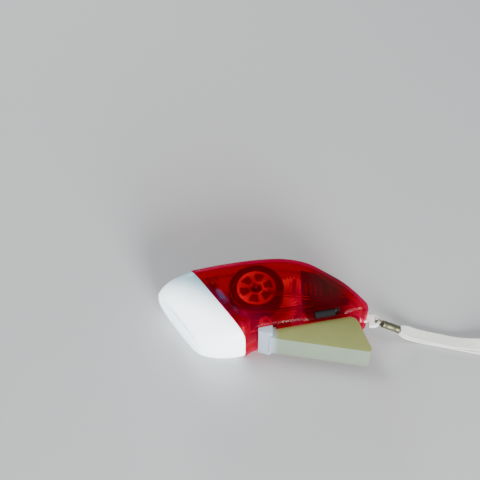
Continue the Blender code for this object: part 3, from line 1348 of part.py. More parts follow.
# Strap
def make_strap(looks):
    """The eyelet tab on its pin, the wire eye, the crimp and the woven wrist loop."""
    x, y = STRAP_POST
    lug_y = y - 1.4 * MM
    half = LUG_WIDTH / 2
    shoulder = TAIL_REACH + 2 * GAP
    outline = filleted(
        [
            (x - 1.5 * MM, y - 1.6 * MM, 0.5 * MM),
            (shoulder, y - 1.9 * MM, 0),
            (shoulder, lug_y - half, 0.6 * MM),
            (LUG_END_X, lug_y - half, 2.6 * MM),
            (LUG_END_X, lug_y + half, 2.6 * MM),
            (shoulder, lug_y + half, 0),
            (x - 1.5 * MM, y + 1.6 * MM, 0.5 * MM),
        ],
        steps=5,
    )
    lug = prism("strap_lug", outline, LUG_LOW, LUG_HIGH, looks["strap_white"])
    eye = (LUG_END_X - 1.7 * MM, -4.5 * MM)
    holes = [
        (STRAP_POST, STRAP_PIN_RADIUS + RUNNING, LUG_LOW - 1 * MM, LUG_HIGH + 1 * MM),
        (eye, 0.95 * MM, LUG_LOW - 1 * MM, LUG_HIGH + 1 * MM),
    ]
    combine(lug, post_guide("lug_holes", holes))
    pin = circle(STRAP_POST, STRAP_PIN_RADIUS, 12)
    pin_low, pin_high = STRAP_POST_LOW + 1 * MM + GAP, STRAP_POST_HIGH - 1 * MM - GAP
    prism("strap_pin", pin, pin_low, pin_high, looks["steel"])

    along = (CRIMP_END - CRIMP_START).normalized()
    above = Vector((-along.z, 0, along.x)).normalized()
    clearance = EYE_WIRE / 2 + GAP
    entry = CRIMP_START - along * 1.5 * GAP
    route = [
        entry + above * 0.75 * MM,
        Vector((LUG_END_X + 0.2 * MM, -4.55 * MM, LUG_HIGH + clearance + 0.1 * MM)),
        Vector((eye[0] + 0.7 * MM, eye[1], LUG_HIGH + clearance + 0.3 * MM)),
        Vector((eye[0], eye[1], LUG_HIGH + 0.1 * MM)),
        Vector((eye[0], eye[1], LUG_LOW - 0.1 * MM)),
        Vector((eye[0] + 0.8 * MM, eye[1], LUG_LOW - clearance - 0.3 * MM)),
        Vector((LUG_END_X + 0.2 * MM, -4.55 * MM, LUG_LOW - clearance - 0.2 * MM)),
        entry - above * 0.75 * MM,
    ]
    smooth = smooth_through(route, 3)
    tube("strap_eye", [(p, 0, 1) for p in smooth], EYE_WIRE, looks["nickel"])

    length = (CRIMP_END - CRIMP_START).length
    profile = [
        (0, CRIMP_RADIUS - 0.3 * MM),
        (0.3 * MM, CRIMP_RADIUS),
        (length - 0.3 * MM, CRIMP_RADIUS),
        (length, CRIMP_RADIUS - 0.3 * MM),
    ]
    loft("strap_crimp", turned_rings(CRIMP_START, along, profile, 20), looks["nickel"])

    points = [Vector((a * MM, b * MM, c * MM, d, e)) for a, b, c, d, e in STRAP_ROUTE]
    smooth = smooth_through(points, 2)
    strap = [(p[:3], math.radians(p[3] + 90), p[4]) for p in smooth]
    tube(
        "wrist_strap", strap, STRAP_THICKNESS, looks["strap_white"], resolution=1,
        flat_width=STRAP_WIDTH,
    )


def main():
    """Clears the scene and builds the torch."""
    for old in list(bpy.data.objects):
        bpy.data.objects.remove(old, do_unlink=True)
    looks = make_finishes()
    make_housing(looks)
    make_screws(looks)
    make_bezel(looks)
    make_lens(looks)
    make_lamps(looks)
    make_lever(looks)
    make_spring(looks)
    make_rack(looks)
    make_train(looks)
    make_rotor(looks)
    make_stator(looks)
    make_board(looks)
    make_wires(looks)
    make_strap(looks)


main()
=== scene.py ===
"""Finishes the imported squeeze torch: moulded pieces, woven strap, materials, floor, lights and camera."""

import json
import math

import bmesh
import bpy
from mathutils import Matrix, Vector

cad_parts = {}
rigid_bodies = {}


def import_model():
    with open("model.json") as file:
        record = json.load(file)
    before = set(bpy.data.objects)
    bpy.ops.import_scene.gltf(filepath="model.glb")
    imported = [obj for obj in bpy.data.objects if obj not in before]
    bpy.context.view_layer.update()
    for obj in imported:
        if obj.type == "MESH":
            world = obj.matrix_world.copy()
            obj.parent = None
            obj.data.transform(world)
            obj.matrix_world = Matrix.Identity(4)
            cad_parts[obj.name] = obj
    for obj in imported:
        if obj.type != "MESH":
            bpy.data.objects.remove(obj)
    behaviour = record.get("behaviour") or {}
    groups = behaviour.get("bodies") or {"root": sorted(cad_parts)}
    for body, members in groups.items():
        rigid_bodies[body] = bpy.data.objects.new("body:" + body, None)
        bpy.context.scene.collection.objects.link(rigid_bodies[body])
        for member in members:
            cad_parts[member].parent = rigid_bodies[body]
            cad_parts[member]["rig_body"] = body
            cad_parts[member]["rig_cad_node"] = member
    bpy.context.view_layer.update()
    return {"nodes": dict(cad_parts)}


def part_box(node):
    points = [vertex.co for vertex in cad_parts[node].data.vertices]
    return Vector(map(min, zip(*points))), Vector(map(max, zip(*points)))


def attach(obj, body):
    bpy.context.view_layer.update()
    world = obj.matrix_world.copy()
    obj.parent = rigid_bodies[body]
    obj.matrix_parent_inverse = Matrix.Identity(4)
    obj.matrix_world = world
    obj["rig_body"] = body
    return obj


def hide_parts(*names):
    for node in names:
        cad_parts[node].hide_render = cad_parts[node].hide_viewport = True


bl_info = {
    "name": "Squeeze Torch",
    "version": (1, 0, 0),
    "blender": (4, 5, 0),
    "location": "View3D > Sidebar > Torch",
    "description": "Builds the finished pieces of a squeeze torch over its packed frame",
    "category": "Add Mesh",
}

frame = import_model()
MM = 0.001

# The strap's route: x, y, z in mm, twist in degrees from lying flat, share of the full width
STRAP_ROUTE = (
    (66.25, -5.33, 6.35, 0, 0.62),
    (69.3, -5.6, 4.75, 0, 1),
    (72.8, -6.0, 3.2, 0, 1),
    (77.0, -6.8, 2.35, 0, 1),
    (84.0, -8.4, 2.15, 0, 1),
    (93.0, -10.4, 2.15, 0, 1),
    (102.0, -11.9, 3.1, 10, 1),
    (111.0, -12.2, 3.2, 45, 1),
    (121.0, -11.0, 3.15, 80, 1),
    (136.0, -7.6, 3.1, 90, 1),
    (154.0, -3.8, 3.1, 90, 1),
    (171.0, -1.6, 3.1, 90, 1),
    (185.0, -2.4, 3.1, 90, 1),
    (196.0, -7.6, 3.1, 90, 1),
    (201.5, -17.0, 3.1, 90, 1),
    (197.0, -26.6, 3.1, 90, 1),
    (186.5, -31.9, 3.1, 90, 1),
    (171.0, -32.4, 3.1, 90, 1),
    (154.0, -29.0, 3.1, 90, 1),
    (136.0, -23.6, 3.1, 90, 1),
    (121.0, -17.8, 3.15, 100, 1),
    (111.0, -14.9, 2.9, 135, 1),
    (102.0, -12.6, 0.95, 175, 1),
    (93.0, -10.4, 0.65, 180, 1),
    (84.0, -8.4, 0.65, 180, 1),
    (76.5, -6.8, 0.75, 180, 1),
    (71.6, -6.0, 1.75, 180, 1),
    (68.2, -5.6, 3.4, 180, 1),
    (65.6, -5.33, 4.9, 180, 0.62),
)

# The slant of the head, the way its lamps point, and the turn of the switch's slot
HEAD_SLANT = math.radians(35.8)
LAMPS_AHEAD = (-math.cos(HEAD_SLANT), -math.sin(HEAD_SLANT), 0)
KNOB_ANGLE = math.radians(11.1)
KNOB_GROOVE_PITCH = 0.55 * MM
KNOB_GROOVES = 7

# The middle of the camera's view
CAMERA_AIM = Vector((-10.5, 42.8, 12)) * MM

# Axis of the strap's crimp, from its eye end to the webbing
CRIMP_AHEAD = (8.4, -0.7, -4.4)


# Sizes and colours that a user may change
class TorchSizes(bpy.types.PropertyGroup):
    """Sizes of the finished pieces."""

    shell_rim: bpy.props.FloatProperty(
        name="Shell rim",
        description="Width of the rounding along the housing's moulded edges",
        default=0.22 * MM,
        min=0,
        unit="LENGTH",
    )
    lever_rim: bpy.props.FloatProperty(
        name="Lever rim",
        description="Width of the rounding along the lever's edges",
        default=0.35 * MM,
        min=0,
        unit="LENGTH",
    )
    strap_width: bpy.props.FloatProperty(
        name="Strap width",
        description="Width of the flat webbing",
        default=6 * MM,
        min=1 * MM,
        unit="LENGTH",
    )
    strap_thickness: bpy.props.FloatProperty(
        name="Strap thickness",
        description="Thickness of the flat webbing",
        default=1.2 * MM,
        min=0.2 * MM,
        unit="LENGTH",
    )
    camera_distance: bpy.props.FloatProperty(
        name="Camera distance",
        description="From the camera to the point it looks at",
        default=0.55,
        min=0.1,
        unit="LENGTH",
    )
    camera_height: bpy.props.FloatProperty(
        name="Camera elevation",
        description="Angle of the view above the horizon",
        default=math.radians(55),
        subtype="ANGLE",
    )


def colour(name, description, default):
    """A colour property with its default."""
    return bpy.props.FloatVectorProperty(
        name=name, description=description, default=default, size=3, subtype="COLOR", min=0, max=1
    )


class TorchColours(bpy.types.PropertyGroup):
    """Colours of the finished pieces."""

    shell_tint: colour("Shell tint", "What one face of the red shell lets through", (0.96, 0.035, 0.31))
    shell_body: colour("Shell body", "Colour of the red plastic itself", (0.24, 0.003, 0.014))
    head: colour("Head", "Ice-white plastic of the bezel", (0.84, 0.92, 0.96))
    glow: colour("Glow", "Light that the lamps throw into the head", (0.86, 0.95, 1.0))
    lever: colour("Lever", "Pale grey plastic of the lever's sides", (0.218, 0.278, 0.205))
    # The lever's flat faces are drawn darker and olive: painted shade and a painted greenish reflection on
    # the grey plastic
    lever_face_painted_shade_and_reflection: colour("Lever face", "Olive cast of the lever's flat faces", (0.215, 0.242, 0.076))
    knob: colour("Knob", "Dark plastic of the slide switch", (0.008, 0.008, 0.009))
    gears: colour("Gears", "White plastic of the gear train", (0.88, 0.87, 0.82))
    board: colour("Board", "Lacquer of the circuit boards", (0.005, 0.03, 0.014))
    strap: colour("Strap", "Off-white yarn of the wrist strap", (0.97, 0.965, 0.92))
    crimp: colour("Crimp", "Plated metal of the strap's crimp", (0.2, 0.195, 0.125))
    floor: colour("Floor", "Pale studio floor", (0.46, 0.465, 0.47))


# Materials, by name once they are made
FINISHES = {}


class Signal:
    """A node's output, with arithmetic that adds Math nodes."""

    def __init__(self, finish, socket):
        self.finish = finish
        self.socket = socket

    def math(self, operation, *others):
        values = {0: self}
        for place, other in enumerate(others, 1):
            values[place] = other
        return self.finish.node("ShaderNodeMath", {"operation": operation}, values)

    def swapped(self, operation, other):
        return self.finish.node("ShaderNodeMath", {"operation": operation}, {0: other, 1: self})

    def __add__(self, other):
        return self.math("ADD", other)

    def __radd__(self, other):
        return self.swapped("ADD", other)

    def __sub__(self, other):
        return self.math("SUBTRACT", other)

    def __rsub__(self, other):
        return self.swapped("SUBTRACT", other)

    def __mul__(self, other):
        return self.math("MULTIPLY", other)

    def __rmul__(self, other):
        return self.swapped("MULTIPLY", other)

    def __pow__(self, other):
        return self.math("POWER", other)

    def __gt__(self, other):
        return self.math("GREATER_THAN", other)

    def __lt__(self, other):
        return self.math("LESS_THAN", other)

    def __abs__(self):
        return self.math("ABSOLUTE")

    def sine(self):
        return self.math("SINE")

    def ping(self, scale):
        return self.math("PINGPONG", scale)

    def clamped(self):
        return self.math("MAXIMUM", 0.0).math("MINIMUM", 1.0)

    def smooth(self, low, high):
        """0 below low, 1 above high and a smooth step between."""
        settings = {"interpolation_type": "SMOOTHSTEP"}
        return self.finish.node("ShaderNodeMapRange", settings, {0: self, 1: low, 2: high})


class Finish:
    """A material in the making."""

    def __init__(self, name):
        self.material = bpy.data.materials.new(name)
        self.material.use_nodes = True
        self.tree = self.material.node_tree
        self.tree.nodes.clear()
        self.position = None

    def node(self, kind, settings=None, values=None, output=0):
        """Adds a node, sets it and its sockets, and returns one of its outputs."""
        node = self.tree.nodes.new(kind)
        for key, value in (settings or {}).items():
            setattr(node, key, value)
        for key, value in (values or {}).items():
            socket = node.inputs[key]
            if isinstance(value, Signal):
                self.tree.links.new(value.socket, socket)
            elif socket.type == "RGBA":
                socket.default_value = (*value[:3], 1)
            else:
                socket.default_value = value
        return Signal(self, node.outputs[output]) if node.outputs else None

    def place(self):
        """Object coordinates, in metres."""
        if self.position is None:
            self.position = self.node("ShaderNodeTexCoord", output="Object")
        return self.position

    def split(self, vector=None):
        """The x, y and z of a vector."""
        vector = vector or self.place()
        first = self.node("ShaderNodeSeparateXYZ", None, {0: vector})
        return [Signal(self, output) for output in first.socket.node.outputs]

    def noise(self, scale, detail=3.0, roughness=0.5, vector=None):
        """Fractal noise from 0 to 1, scale in cells per metre."""
        values = {"Scale": scale, "Detail": detail, "Roughness": roughness}
        values["Vector"] = vector or self.place()
        return self.node("ShaderNodeTexNoise", None, values)

    def blend(self, share, first, second):
        """A colour between two, by share."""
        values = {0: share, 6: first, 7: second}
        return self.node("ShaderNodeMix", {"data_type": "RGBA"}, values, output=2)

    def mix(self, share, first, second):
        """A shader between two, by share."""
        return self.node("ShaderNodeMixShader", None, {0: share.clamped(), 1: first, 2: second})

    def clear(self, tone):
        """A shader that lets light through, tinted."""
        return self.node("ShaderNodeBsdfTransparent", None, {"Color": tone})

    def facing(self, blend):
        """0 where a surface faces the eye, rising to 1 at its edges."""
        return self.node("ShaderNodeLayerWeight", None, {"Blend": blend}, output="Facing")

    def bump(self, height, distance, strength=1.0):
        """A normal bent by a height from 0 to 1 over a distance in metres."""
        values = {"Height": height, "Distance": distance, "Strength": strength}
        return self.node("ShaderNodeBump", None, values)

    def plastic(self, **values):
        """The main shader, with socket names written with underscores."""
        named = {key.replace("_", " ").title(): value for key, value in values.items()}
        named = {key.replace("Ior", "IOR"): value for key, value in named.items()}
        return self.node("ShaderNodeBsdfPrincipled", None, named)

    def done(self, shader):
        """Sends the shader to the surface and returns the material."""
        self.node("ShaderNodeOutputMaterial", None, {0: shader})
        return self.material


def behind_rim(x, y):
    """How far a point lies behind the head's slanted rim, and how far along it towards the lever."""
    across, along = x + 21.3 * MM, y + 0.3 * MM
    return (
        across * math.cos(HEAD_SLANT) + along * math.sin(HEAD_SLANT),
        across * math.sin(HEAD_SLANT) - along * math.cos(HEAD_SLANT),
    )


def spot(x, y, centre, reach):
    """1 at a place seen from above, falling to 0 at a distance from it."""
    away = ((x - centre[0] * MM) ** 2 + (y - centre[1] * MM) ** 2) ** 0.5
    return 1 - away.smooth(0.1 * reach * MM, reach * MM)


def shell_finish(colours):
    """Clear red plastic: tinted where one looks through, glossy, with lamp light that leaks along it."""
    made = Finish("shell_red")
    flow = made.noise(45, 2, 0.5)
    scuffs = made.noise(900, 4, 0.65)
    x, y, z = made.split()
    # Lamp light leaks in beside the head, in the gap between flywheel and board, and at the tail
    strip = x.smooth(11.5 * MM, 14.5 * MM) * (1 - x.smooth(17.5 * MM, 21 * MM))
    strip = strip * (1 - y.smooth(2 * MM, 17 * MM)) * 0.6
    glow = spot(x, y, (-4, -15), 15) + strip + spot(x, y, (45, -5), 9) * 0.9
    glow = glow * (0.6 + 0.4 * flow)
    # The lit lamp board shows through as a painted bluish glow behind the rim, and the circuit board as a
    # dark patch of painted shade
    behind, along = behind_rim(x, y)
    # Painted bluish glow behind the rim, standing for the lit lamp board seen through the shell
    haze_and_painted_glow = behind.smooth(0.4 * MM, 1.6 * MM) * (1 - behind.smooth(3.4 * MM, 5.4 * MM))
    haze_and_painted_glow = haze_and_painted_glow * along.smooth(-9 * MM, -4 * MM) * (1 - along.smooth(9 * MM, 13 * MM))
    haze_and_painted_glow = haze_and_painted_glow * z.smooth(19 * MM, 22 * MM) * made.noise(160, 2, 0.5).smooth(0.38, 0.6)
    # Painted shade over the circuit board: the shell is drawn darker and less clear there
    shade = spot(x, y, (32, 9), 16) * (0.75 + 0.25 * flow) * (1 - haze_and_painted_glow)
    red = made.blend(flow, tuple(0.7 * c for c in colours.shell_body), colours.shell_body)
    red = made.blend(shade, red, (0.035, 0.008, 0.007))
    leak = made.blend(glow.clamped(), (0, 0, 0), (0.62, 0.001, 0.14))
    skin = made.plastic(
        base_color=made.blend(haze_and_painted_glow, red, (0.03, 0.03, 0.08)),
        roughness=0.06 + 0.1 * scuffs,
        normal=made.bump(flow, 0.25 * MM, 0.35),
        emission_color=made.blend(haze_and_painted_glow, leak, (0.03, 0.035, 0.11)),
        emission_strength=1.35,
        specular_ior_level=0.3,
    )
    share = 0.09 + 0.6 * made.facing(0.3) ** 2.4 + 0.4 * haze_and_painted_glow + 0.42 * shade
    return made.done(made.mix(share, made.clear(colours.shell_tint), skin))


def head_finish(colours):
    """Ice-white plastic lit from inside, brightest round the window and dim towards the spine."""
    made = Finish("head_ice")
    grain = made.noise(1400, 3, 0.6)
    cloud = made.noise(60, 2, 0.5)
    behind, along = behind_rim(*made.split()[:2])
    lit = 0.24 - behind * (1 / (18 * MM)) + along * (1 / (36 * MM)) + cloud * 0.15
    lit = lit.smooth(-0.1, 1.05)
    dim = tuple(c * t for c, t in zip(colours.head, (0.28, 0.52, 0.58)))
    return made.done(
        made.plastic(
            base_color=made.blend(lit ** 0.8, dim, colours.head),
            roughness=0.32 + 0.12 * grain,
            emission_color=made.blend(lit, (0.0, 0.01, 0.015), colours.glow),
            emission_strength=2.6,
            normal=made.bump(grain, 0.05 * MM, 0.3),
        )
    )


def window_finish(colours):
    """Clear polished window with light behind it."""
    made = Finish("window_clear")
    swirl = made.noise(90, 2, 0.5)
    skin = made.plastic(
        base_color=colours.glow,
        roughness=0.04 + 0.05 * swirl,
        emission_color=colours.glow,
        emission_strength=0.5,
    )
    share = 0.16 + 0.6 * made.facing(0.25) ** 2.0
    return made.done(made.mix(share, made.clear((0.97, 0.985, 1.0)), skin))


def lamp_finish():
    """A lit lamp's glowing chip and cup."""
    made = Finish("lamp_lit")
    glow = made.noise(500, 2, 0.5)
    return made.done(
        made.plastic(
            base_color=(0.92, 0.96, 1.0),
            roughness=0.05 + 0.05 * glow,
            emission_color=made.blend(glow, (0.8, 0.92, 1.0), (1.0, 1.0, 1.0)),
            emission_strength=3.5,
        )
    )


def lamp_clear_finish():
    """Clear epoxy of a lamp's dome, seen through to its lit chip."""
    made = Finish("lamp_clear")
    haze_and_painted_glow = made.noise(700, 2, 0.5)
    skin = made.plastic(
        base_color=(0.9, 0.95, 1.0),
        roughness=0.05 + 0.08 * haze_and_painted_glow,
        emission_color=made.blend(haze_and_painted_glow, (0.6, 0.8, 1.0), (0.9, 0.97, 1.0)),
        emission_strength=0.9,
    )
    share = 0.25 + 0.6 * made.facing(0.3) ** 1.5
    return made.done(made.mix(share, made.clear((0.96, 0.98, 1.0)), skin))


def mirror_finish():
    """Vacuum-plated reflector."""
    made = Finish("reflector_plated")
    haze_and_painted_glow = made.noise(700, 3, 0.6)
    return made.done(
        made.plastic(base_color=(0.92, 0.93, 0.95), metallic=1.0, roughness=0.05 + 0.12 * haze_and_painted_glow)
    )


def moulded_finish(name, tone, gloss=0.38, shade=0.86, shine=0.5):
    """Opaque moulded plastic with a fine spark-eroded grain and faint flow marks."""
    made = Finish(name)
    grain = made.noise(2600, 3, 0.6)
    flow = made.noise(70, 2, 0.5)
    wear = (flow * 0.7 + grain * 0.3).smooth(0.35, 0.7)
    return made.done(
        made.plastic(
            base_color=made.blend(wear, tuple(shade * c for c in tone), tone),
            roughness=gloss + 0.18 * grain,
            specular_ior_level=shine,
            normal=made.bump(grain, 0.04 * MM, 0.6),
        )
    )


def lever_finish(colours):
    """The lever's plastic: grey sides, flat faces drawn darker and olive by painted shade and a painted
    greenish reflection, and the head's cool light on its knuckle.
    """
    made = Finish("lever_grey")
    x, _, z = made.split()
    grain = made.noise(2600, 3, 0.6)
    flow = made.noise(55, 3, 0.5)
    wear = (flow * 0.6 + grain * 0.4).smooth(0.3, 0.7)
    side = made.blend(wear, tuple(0.88 * c for c in colours.lever), colours.lever)
    # Flat faces: the grey plastic drawn darker and olive, as painted shade and a painted greenish
    # reflection
    face = made.blend(wear, tuple(0.84 * c for c in colours.lever_face_painted_shade_and_reflection), colours.lever_face_painted_shade_and_reflection)
    flat = abs(z - 12.5 * MM).smooth(6.78 * MM, 6.98 * MM)
    cool = 1 - x.smooth(3 * MM, 8 * MM)
    return made.done(
        made.plastic(
            base_color=made.blend(cool * 0.85, made.blend(flat, side, face), (0.41, 0.51, 0.63)),
            roughness=0.4 + 0.2 * grain,
            specular_ior_level=0.4,
            normal=made.bump(grain, 0.04 * MM, 0.6),
        )
    )


def metal_finish(name, tone, gloss=0.22):
    """Turned or drawn metal: fine streaks with slightly dulled patches."""
    made = Finish(name)
    values = {"Vector": made.place(), "Scale": (1, 1, 14)}
    fine = made.noise(1500, 3, 0.6, vector=made.node("ShaderNodeMapping", None, values))
    patch = made.noise(220, 3, 0.55)
    dull = (patch * 0.6 + fine * 0.4).smooth(0.3, 0.75)
    return made.done(
        made.plastic(
            base_color=made.blend(dull, tuple(0.8 * c for c in tone), tone),
            metallic=1.0,
            roughness=gloss + 0.2 * fine,
            normal=made.bump(fine, 0.02 * MM, 0.4),
        )
    )


def round_rotor(made):
    """How far a point lies from the rotor's axis, sideways and along the torch, and straight."""
    x, y, _ = made.split()
    middle = sum(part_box("flywheel"), Vector()) / 2
    across, along = x - middle.x, y - middle.y
    return across, along, (across * across + along * along) ** 0.5


def flywheel_finish():
    """Turned steel: a pale moulded hub, a bright web and a rim darkened by painted shade, in rings round
    the axis.
    """
    made = Finish("flywheel_steel")
    radius = round_rotor(made)[2]
    hub = 1 - radius.smooth(3.3 * MM, 3.5 * MM)
    # The rim's dark colour is painted shade
    rim = radius.smooth(9.6 * MM, 10.2 * MM)
    rings = (radius * (2 * math.pi / (0.35 * MM))).sine() * 0.5 + 0.5
    patch = made.noise(260, 3, 0.6)
    web = made.blend(patch, (0.40, 0.40, 0.42), (0.62, 0.62, 0.64))
    steel = made.blend(rim, web, (0.10, 0.10, 0.115))
    return made.done(
        made.plastic(
            base_color=made.blend(hub, steel, (0.85, 0.84, 0.8)),
            metallic=(1 - hub) * 0.9,
            roughness=0.3 + 0.15 * patch + 0.06 * rings,
            normal=made.bump(rings * (1 - hub), 0.03 * MM, 0.5),
        )
    )


def plate_finish():
    """Stamped pole plate: zinc-dulled steel, with lobes pressed round the rotor's axis."""
    made = Finish("steel_plate")
    across, along, radius = round_rotor(made)
    angle = along.math("ARCTAN2", across)
    lobes = abs((angle * 3.0 + 0.6).sine()).smooth(0.35, 0.75)
    ring = radius.smooth(3.2 * MM, 4.0 * MM) * (1 - radius.smooth(7.6 * MM, 8.2 * MM))
    spangle = made.noise(700, 4, 0.65)
    mark = lobes * ring
    return made.done(
        made.plastic(
            base_color=made.blend(mark, (0.5, 0.5, 0.54), (0.13, 0.13, 0.15)),
            metallic=0.6,
            roughness=0.3 + 0.25 * spangle,
            normal=made.bump(mark * 0.8 + spangle * 0.2, 0.25 * MM, 0.6),
        )
    )


def board_finish(colours):
    """Green lacquer over copper tracks, in a grid of runs, with tinned pads."""
    made = Finish("board_lacquer")
    runs = made.node(
        "ShaderNodeTexBrick",
        {"offset": 0.35, "squash": 1.0},
        {
            "Vector": made.place(),
            "Scale": 240.0,
            "Color1": (1, 1, 1),
            "Color2": (0.85, 0.85, 0.85),
            "Mortar": (0, 0, 0),
            "Mortar Size": 0.045,
        },
    )
    values = {"Vector": made.place(), "Scale": 420.0}
    pad = made.node("ShaderNodeTexVoronoi", {"feature": "F1"}, values) < 0.11
    speck = made.noise(1800, 2, 0.6)
    deep = tuple(0.55 * c for c in colours.board)
    lacquer = made.blend(speck, deep, colours.board)
    tracked = made.blend(runs * 0.5, lacquer, (0.012, 0.085, 0.03))
    return made.done(
        made.plastic(
            base_color=made.blend(pad, tracked, (0.3, 0.29, 0.26)),
            metallic=pad * 0.9,
            roughness=0.4 + 0.2 * speck,
            specular_ior_level=0.25,
            normal=made.bump(runs, 0.04 * MM, 0.4),
        )
    )


def lamp_board_finish(colours):
    """The lamps' board, its lacquer lit bluish by the light that leaks past the lamps."""
    made = Finish("board_lamp")
    speck = made.noise(1600, 2, 0.6)
    cloud = made.noise(160, 2, 0.5)
    return made.done(
        made.plastic(
            base_color=made.blend(speck, colours.board, (0.05, 0.08, 0.16)),
            roughness=0.35 + 0.2 * speck,
            emission_color=made.blend(cloud, (0.10, 0.16, 0.5), (0.25, 0.35, 0.9)),
            emission_strength=0.22,
            normal=made.bump(speck, 0.03 * MM, 0.4),
        )
    )


def winding_finish():
    """Enamelled copper wire laid turn by turn."""
    made = Finish("winding_copper")
    z = made.split()[2]
    # The colour darkens where each turn dips: painted shade in the grooves between turns
    turns = (z * (2 * math.pi / (0.28 * MM))).sine() * 0.5 + 0.5
    shade = made.noise(900, 3, 0.6)
    return made.done(
        made.plastic(
            base_color=made.blend(turns * 0.7 + shade * 0.3, (0.35, 0.1, 0.03), (0.8, 0.33, 0.12)),
            metallic=0.85,
            roughness=0.22 + 0.2 * shade,
            normal=made.bump(turns, 0.1 * MM, 0.8),
        )
    )


def sleeve_finish():
    """Shrunk plastic sleeve of the storage cell, with a silvery band at each end."""
    made = Finish("cell_sleeve_blue")
    z = made.split()[2]
    band = abs(z - 5.8 * MM) > 3.1 * MM
    wrinkle = made.noise(500, 3, 0.6)
    return made.done(
        made.plastic(
            base_color=made.blend(band, (0.03, 0.14, 0.36), (0.6, 0.6, 0.62)),
            metallic=band * 0.9,
            roughness=0.16 + 0.16 * wrinkle,
            normal=made.bump(wrinkle, 0.06 * MM, 0.5),
        )
    )


def strap_finish(colours):
    """Woven webbing: warp cords along the strap, weft picks across it, with a denser selvedge."""
    made = Finish("strap_weave")
    u, v, _ = made.split(made.node("ShaderNodeUVMap", {"uv_map": "weave"}))
    cords = abs((u * (math.pi * 11)).sine())
    shift = (u * 11).ping(1.0)
    picks = abs(((v * 1.35 + shift * 0.5) * math.pi).sine())
    fuzz = made.noise(5200, 4, 0.7)
    height = cords * 0.55 + picks * cords * 0.3 + fuzz * 0.25
    edge = abs(u - 0.5).smooth(0.4, 0.5)
    # The colour is darker where the weave lies low, as painted shade between the cords and picks, and a
    # little darker towards both edges
    shade = (height * 0.9 + 0.1 - edge * 0.12).clamped()
    return made.done(
        made.plastic(
            base_color=made.blend(shade, tuple(0.66 * c for c in colours.strap), colours.strap),
            roughness=0.78 + 0.14 * fuzz,
            sheen_weight=0.25,
            normal=made.bump(height, 0.22 * MM, 0.9),
        )
    )


def studio_finish(colours):
    """The pale floor."""
    made = Finish("studio_floor")
    mottle = made.noise(12, 3, 0.5)
    tone = tuple(0.985 * c for c in colours.floor)
    return made.done(
        made.plastic(base_color=made.blend(mottle, tone, colours.floor), roughness=0.7 + 0.1 * mottle)
    )


def finish_named(name):
    """The material of that name, made on first use."""
    if name in FINISHES:
        return FINISHES[name]
    colours = bpy.context.scene.torch_colours
    makers = {
        "shell_red": lambda: shell_finish(colours),
        "head_ice": lambda: head_finish(colours),
        "window_clear": lambda: window_finish(colours),
        "lamp_lit": lamp_finish,
        "reflector_plated": mirror_finish,
        "lever_grey": lambda: lever_finish(colours),
        "gear_nylon": lambda: moulded_finish("gear_nylon", tuple(colours.gears), 0.42),
        "knob_dark": lambda: moulded_finish("knob_dark", tuple(colours.knob), 0.7, shine=0.12),
        "steel_plate": plate_finish,
        "flywheel_steel": flywheel_finish,
        "solder_tin": lambda: metal_finish("solder_tin", (0.72, 0.72, 0.73), 0.3),
        "lamp_clear": lamp_clear_finish,
        "board_lamp": lambda: lamp_board_finish(colours),
        "can_dark": lambda: moulded_finish("can_dark", (0.018, 0.018, 0.02), 0.4, shine=0.25),
        "lug_white": lambda: moulded_finish("lug_white", (0.97, 0.965, 0.94), 0.35, shade=0.96),
        "diode_amber": lambda: moulded_finish("diode_amber", (0.16, 0.035, 0.012), 0.2),
        "sleeve_red": lambda: moulded_finish("sleeve_red", (0.085, 0.004, 0.005), 0.45, shine=0.3),
        "sleeve_black": lambda: moulded_finish("sleeve_black", (0.015, 0.015, 0.017), 0.35),
        "steel_bright": lambda: metal_finish("steel_bright", (0.66, 0.67, 0.69)),
        "steel_dark": lambda: metal_finish("steel_dark", (0.13, 0.13, 0.145), 0.3),
        "ferrite_grey": lambda: metal_finish("ferrite_grey", (0.10, 0.10, 0.11), 0.5),
        "crimp_plated": lambda: metal_finish("crimp_plated", tuple(colours.crimp), 0.42),
        "copper_bare": lambda: metal_finish("copper_bare", (0.26, 0.10, 0.04), 0.4),
        "board_lacquer": lambda: board_finish(colours),
        "winding_copper": winding_finish,
        "cell_sleeve_blue": sleeve_finish,
        "strap_weave": lambda: strap_finish(colours),
        "studio_floor": lambda: studio_finish(colours),
    }
    FINISHES[name] = makers[name]()
    return FINISHES[name]


# Modelling helpers
def pick(piece):
    """Makes a piece the one selected and active object."""
    bpy.ops.object.select_all(action="DESELECT")
    piece.select_set(True)
    bpy.context.view_layer.objects.active = piece


def dress(piece, finish, body):
    """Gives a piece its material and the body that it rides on."""
    piece.data.materials.clear()
    piece.data.materials.append(finish_named(finish))
    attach(piece, body)


def dress_node(node, finish):
    """Gives a CAD node that is shown as it is a material."""
    mesh = frame["nodes"][node].data
    if not mesh.materials:
        mesh.materials.append(None)
    for place in range(len(mesh.materials)):
        mesh.materials[place] = finish_named(finish)


def apply_modifier(piece, kind, **settings):
    """Adds a modifier with its settings and applies it."""
    pick(piece)
    modifier = piece.modifiers.new(kind.title(), kind)
    for key, value in settings.items():
        setattr(modifier, key, value)
    bpy.ops.object.modifier_apply(modifier=modifier.name)


def merged_copy(node, name):
    """A copy of a CAD node with its triangles joined into clean faces."""
    pick(frame["nodes"][node])
    bpy.ops.object.duplicate()
    piece = bpy.context.active_object
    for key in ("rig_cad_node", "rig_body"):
        if key in piece:
            del piece[key]
    piece.parent = None
    piece.name = name
    piece.data.name = name
    bpy.ops.object.mode_set(mode="EDIT")
    bpy.ops.mesh.select_all(action="SELECT")
    bpy.ops.mesh.remove_doubles(threshold=2e-6)
    bpy.ops.mesh.dissolve_limited(angle_limit=math.radians(0.3))
    bpy.ops.object.mode_set(mode="OBJECT")
    return piece


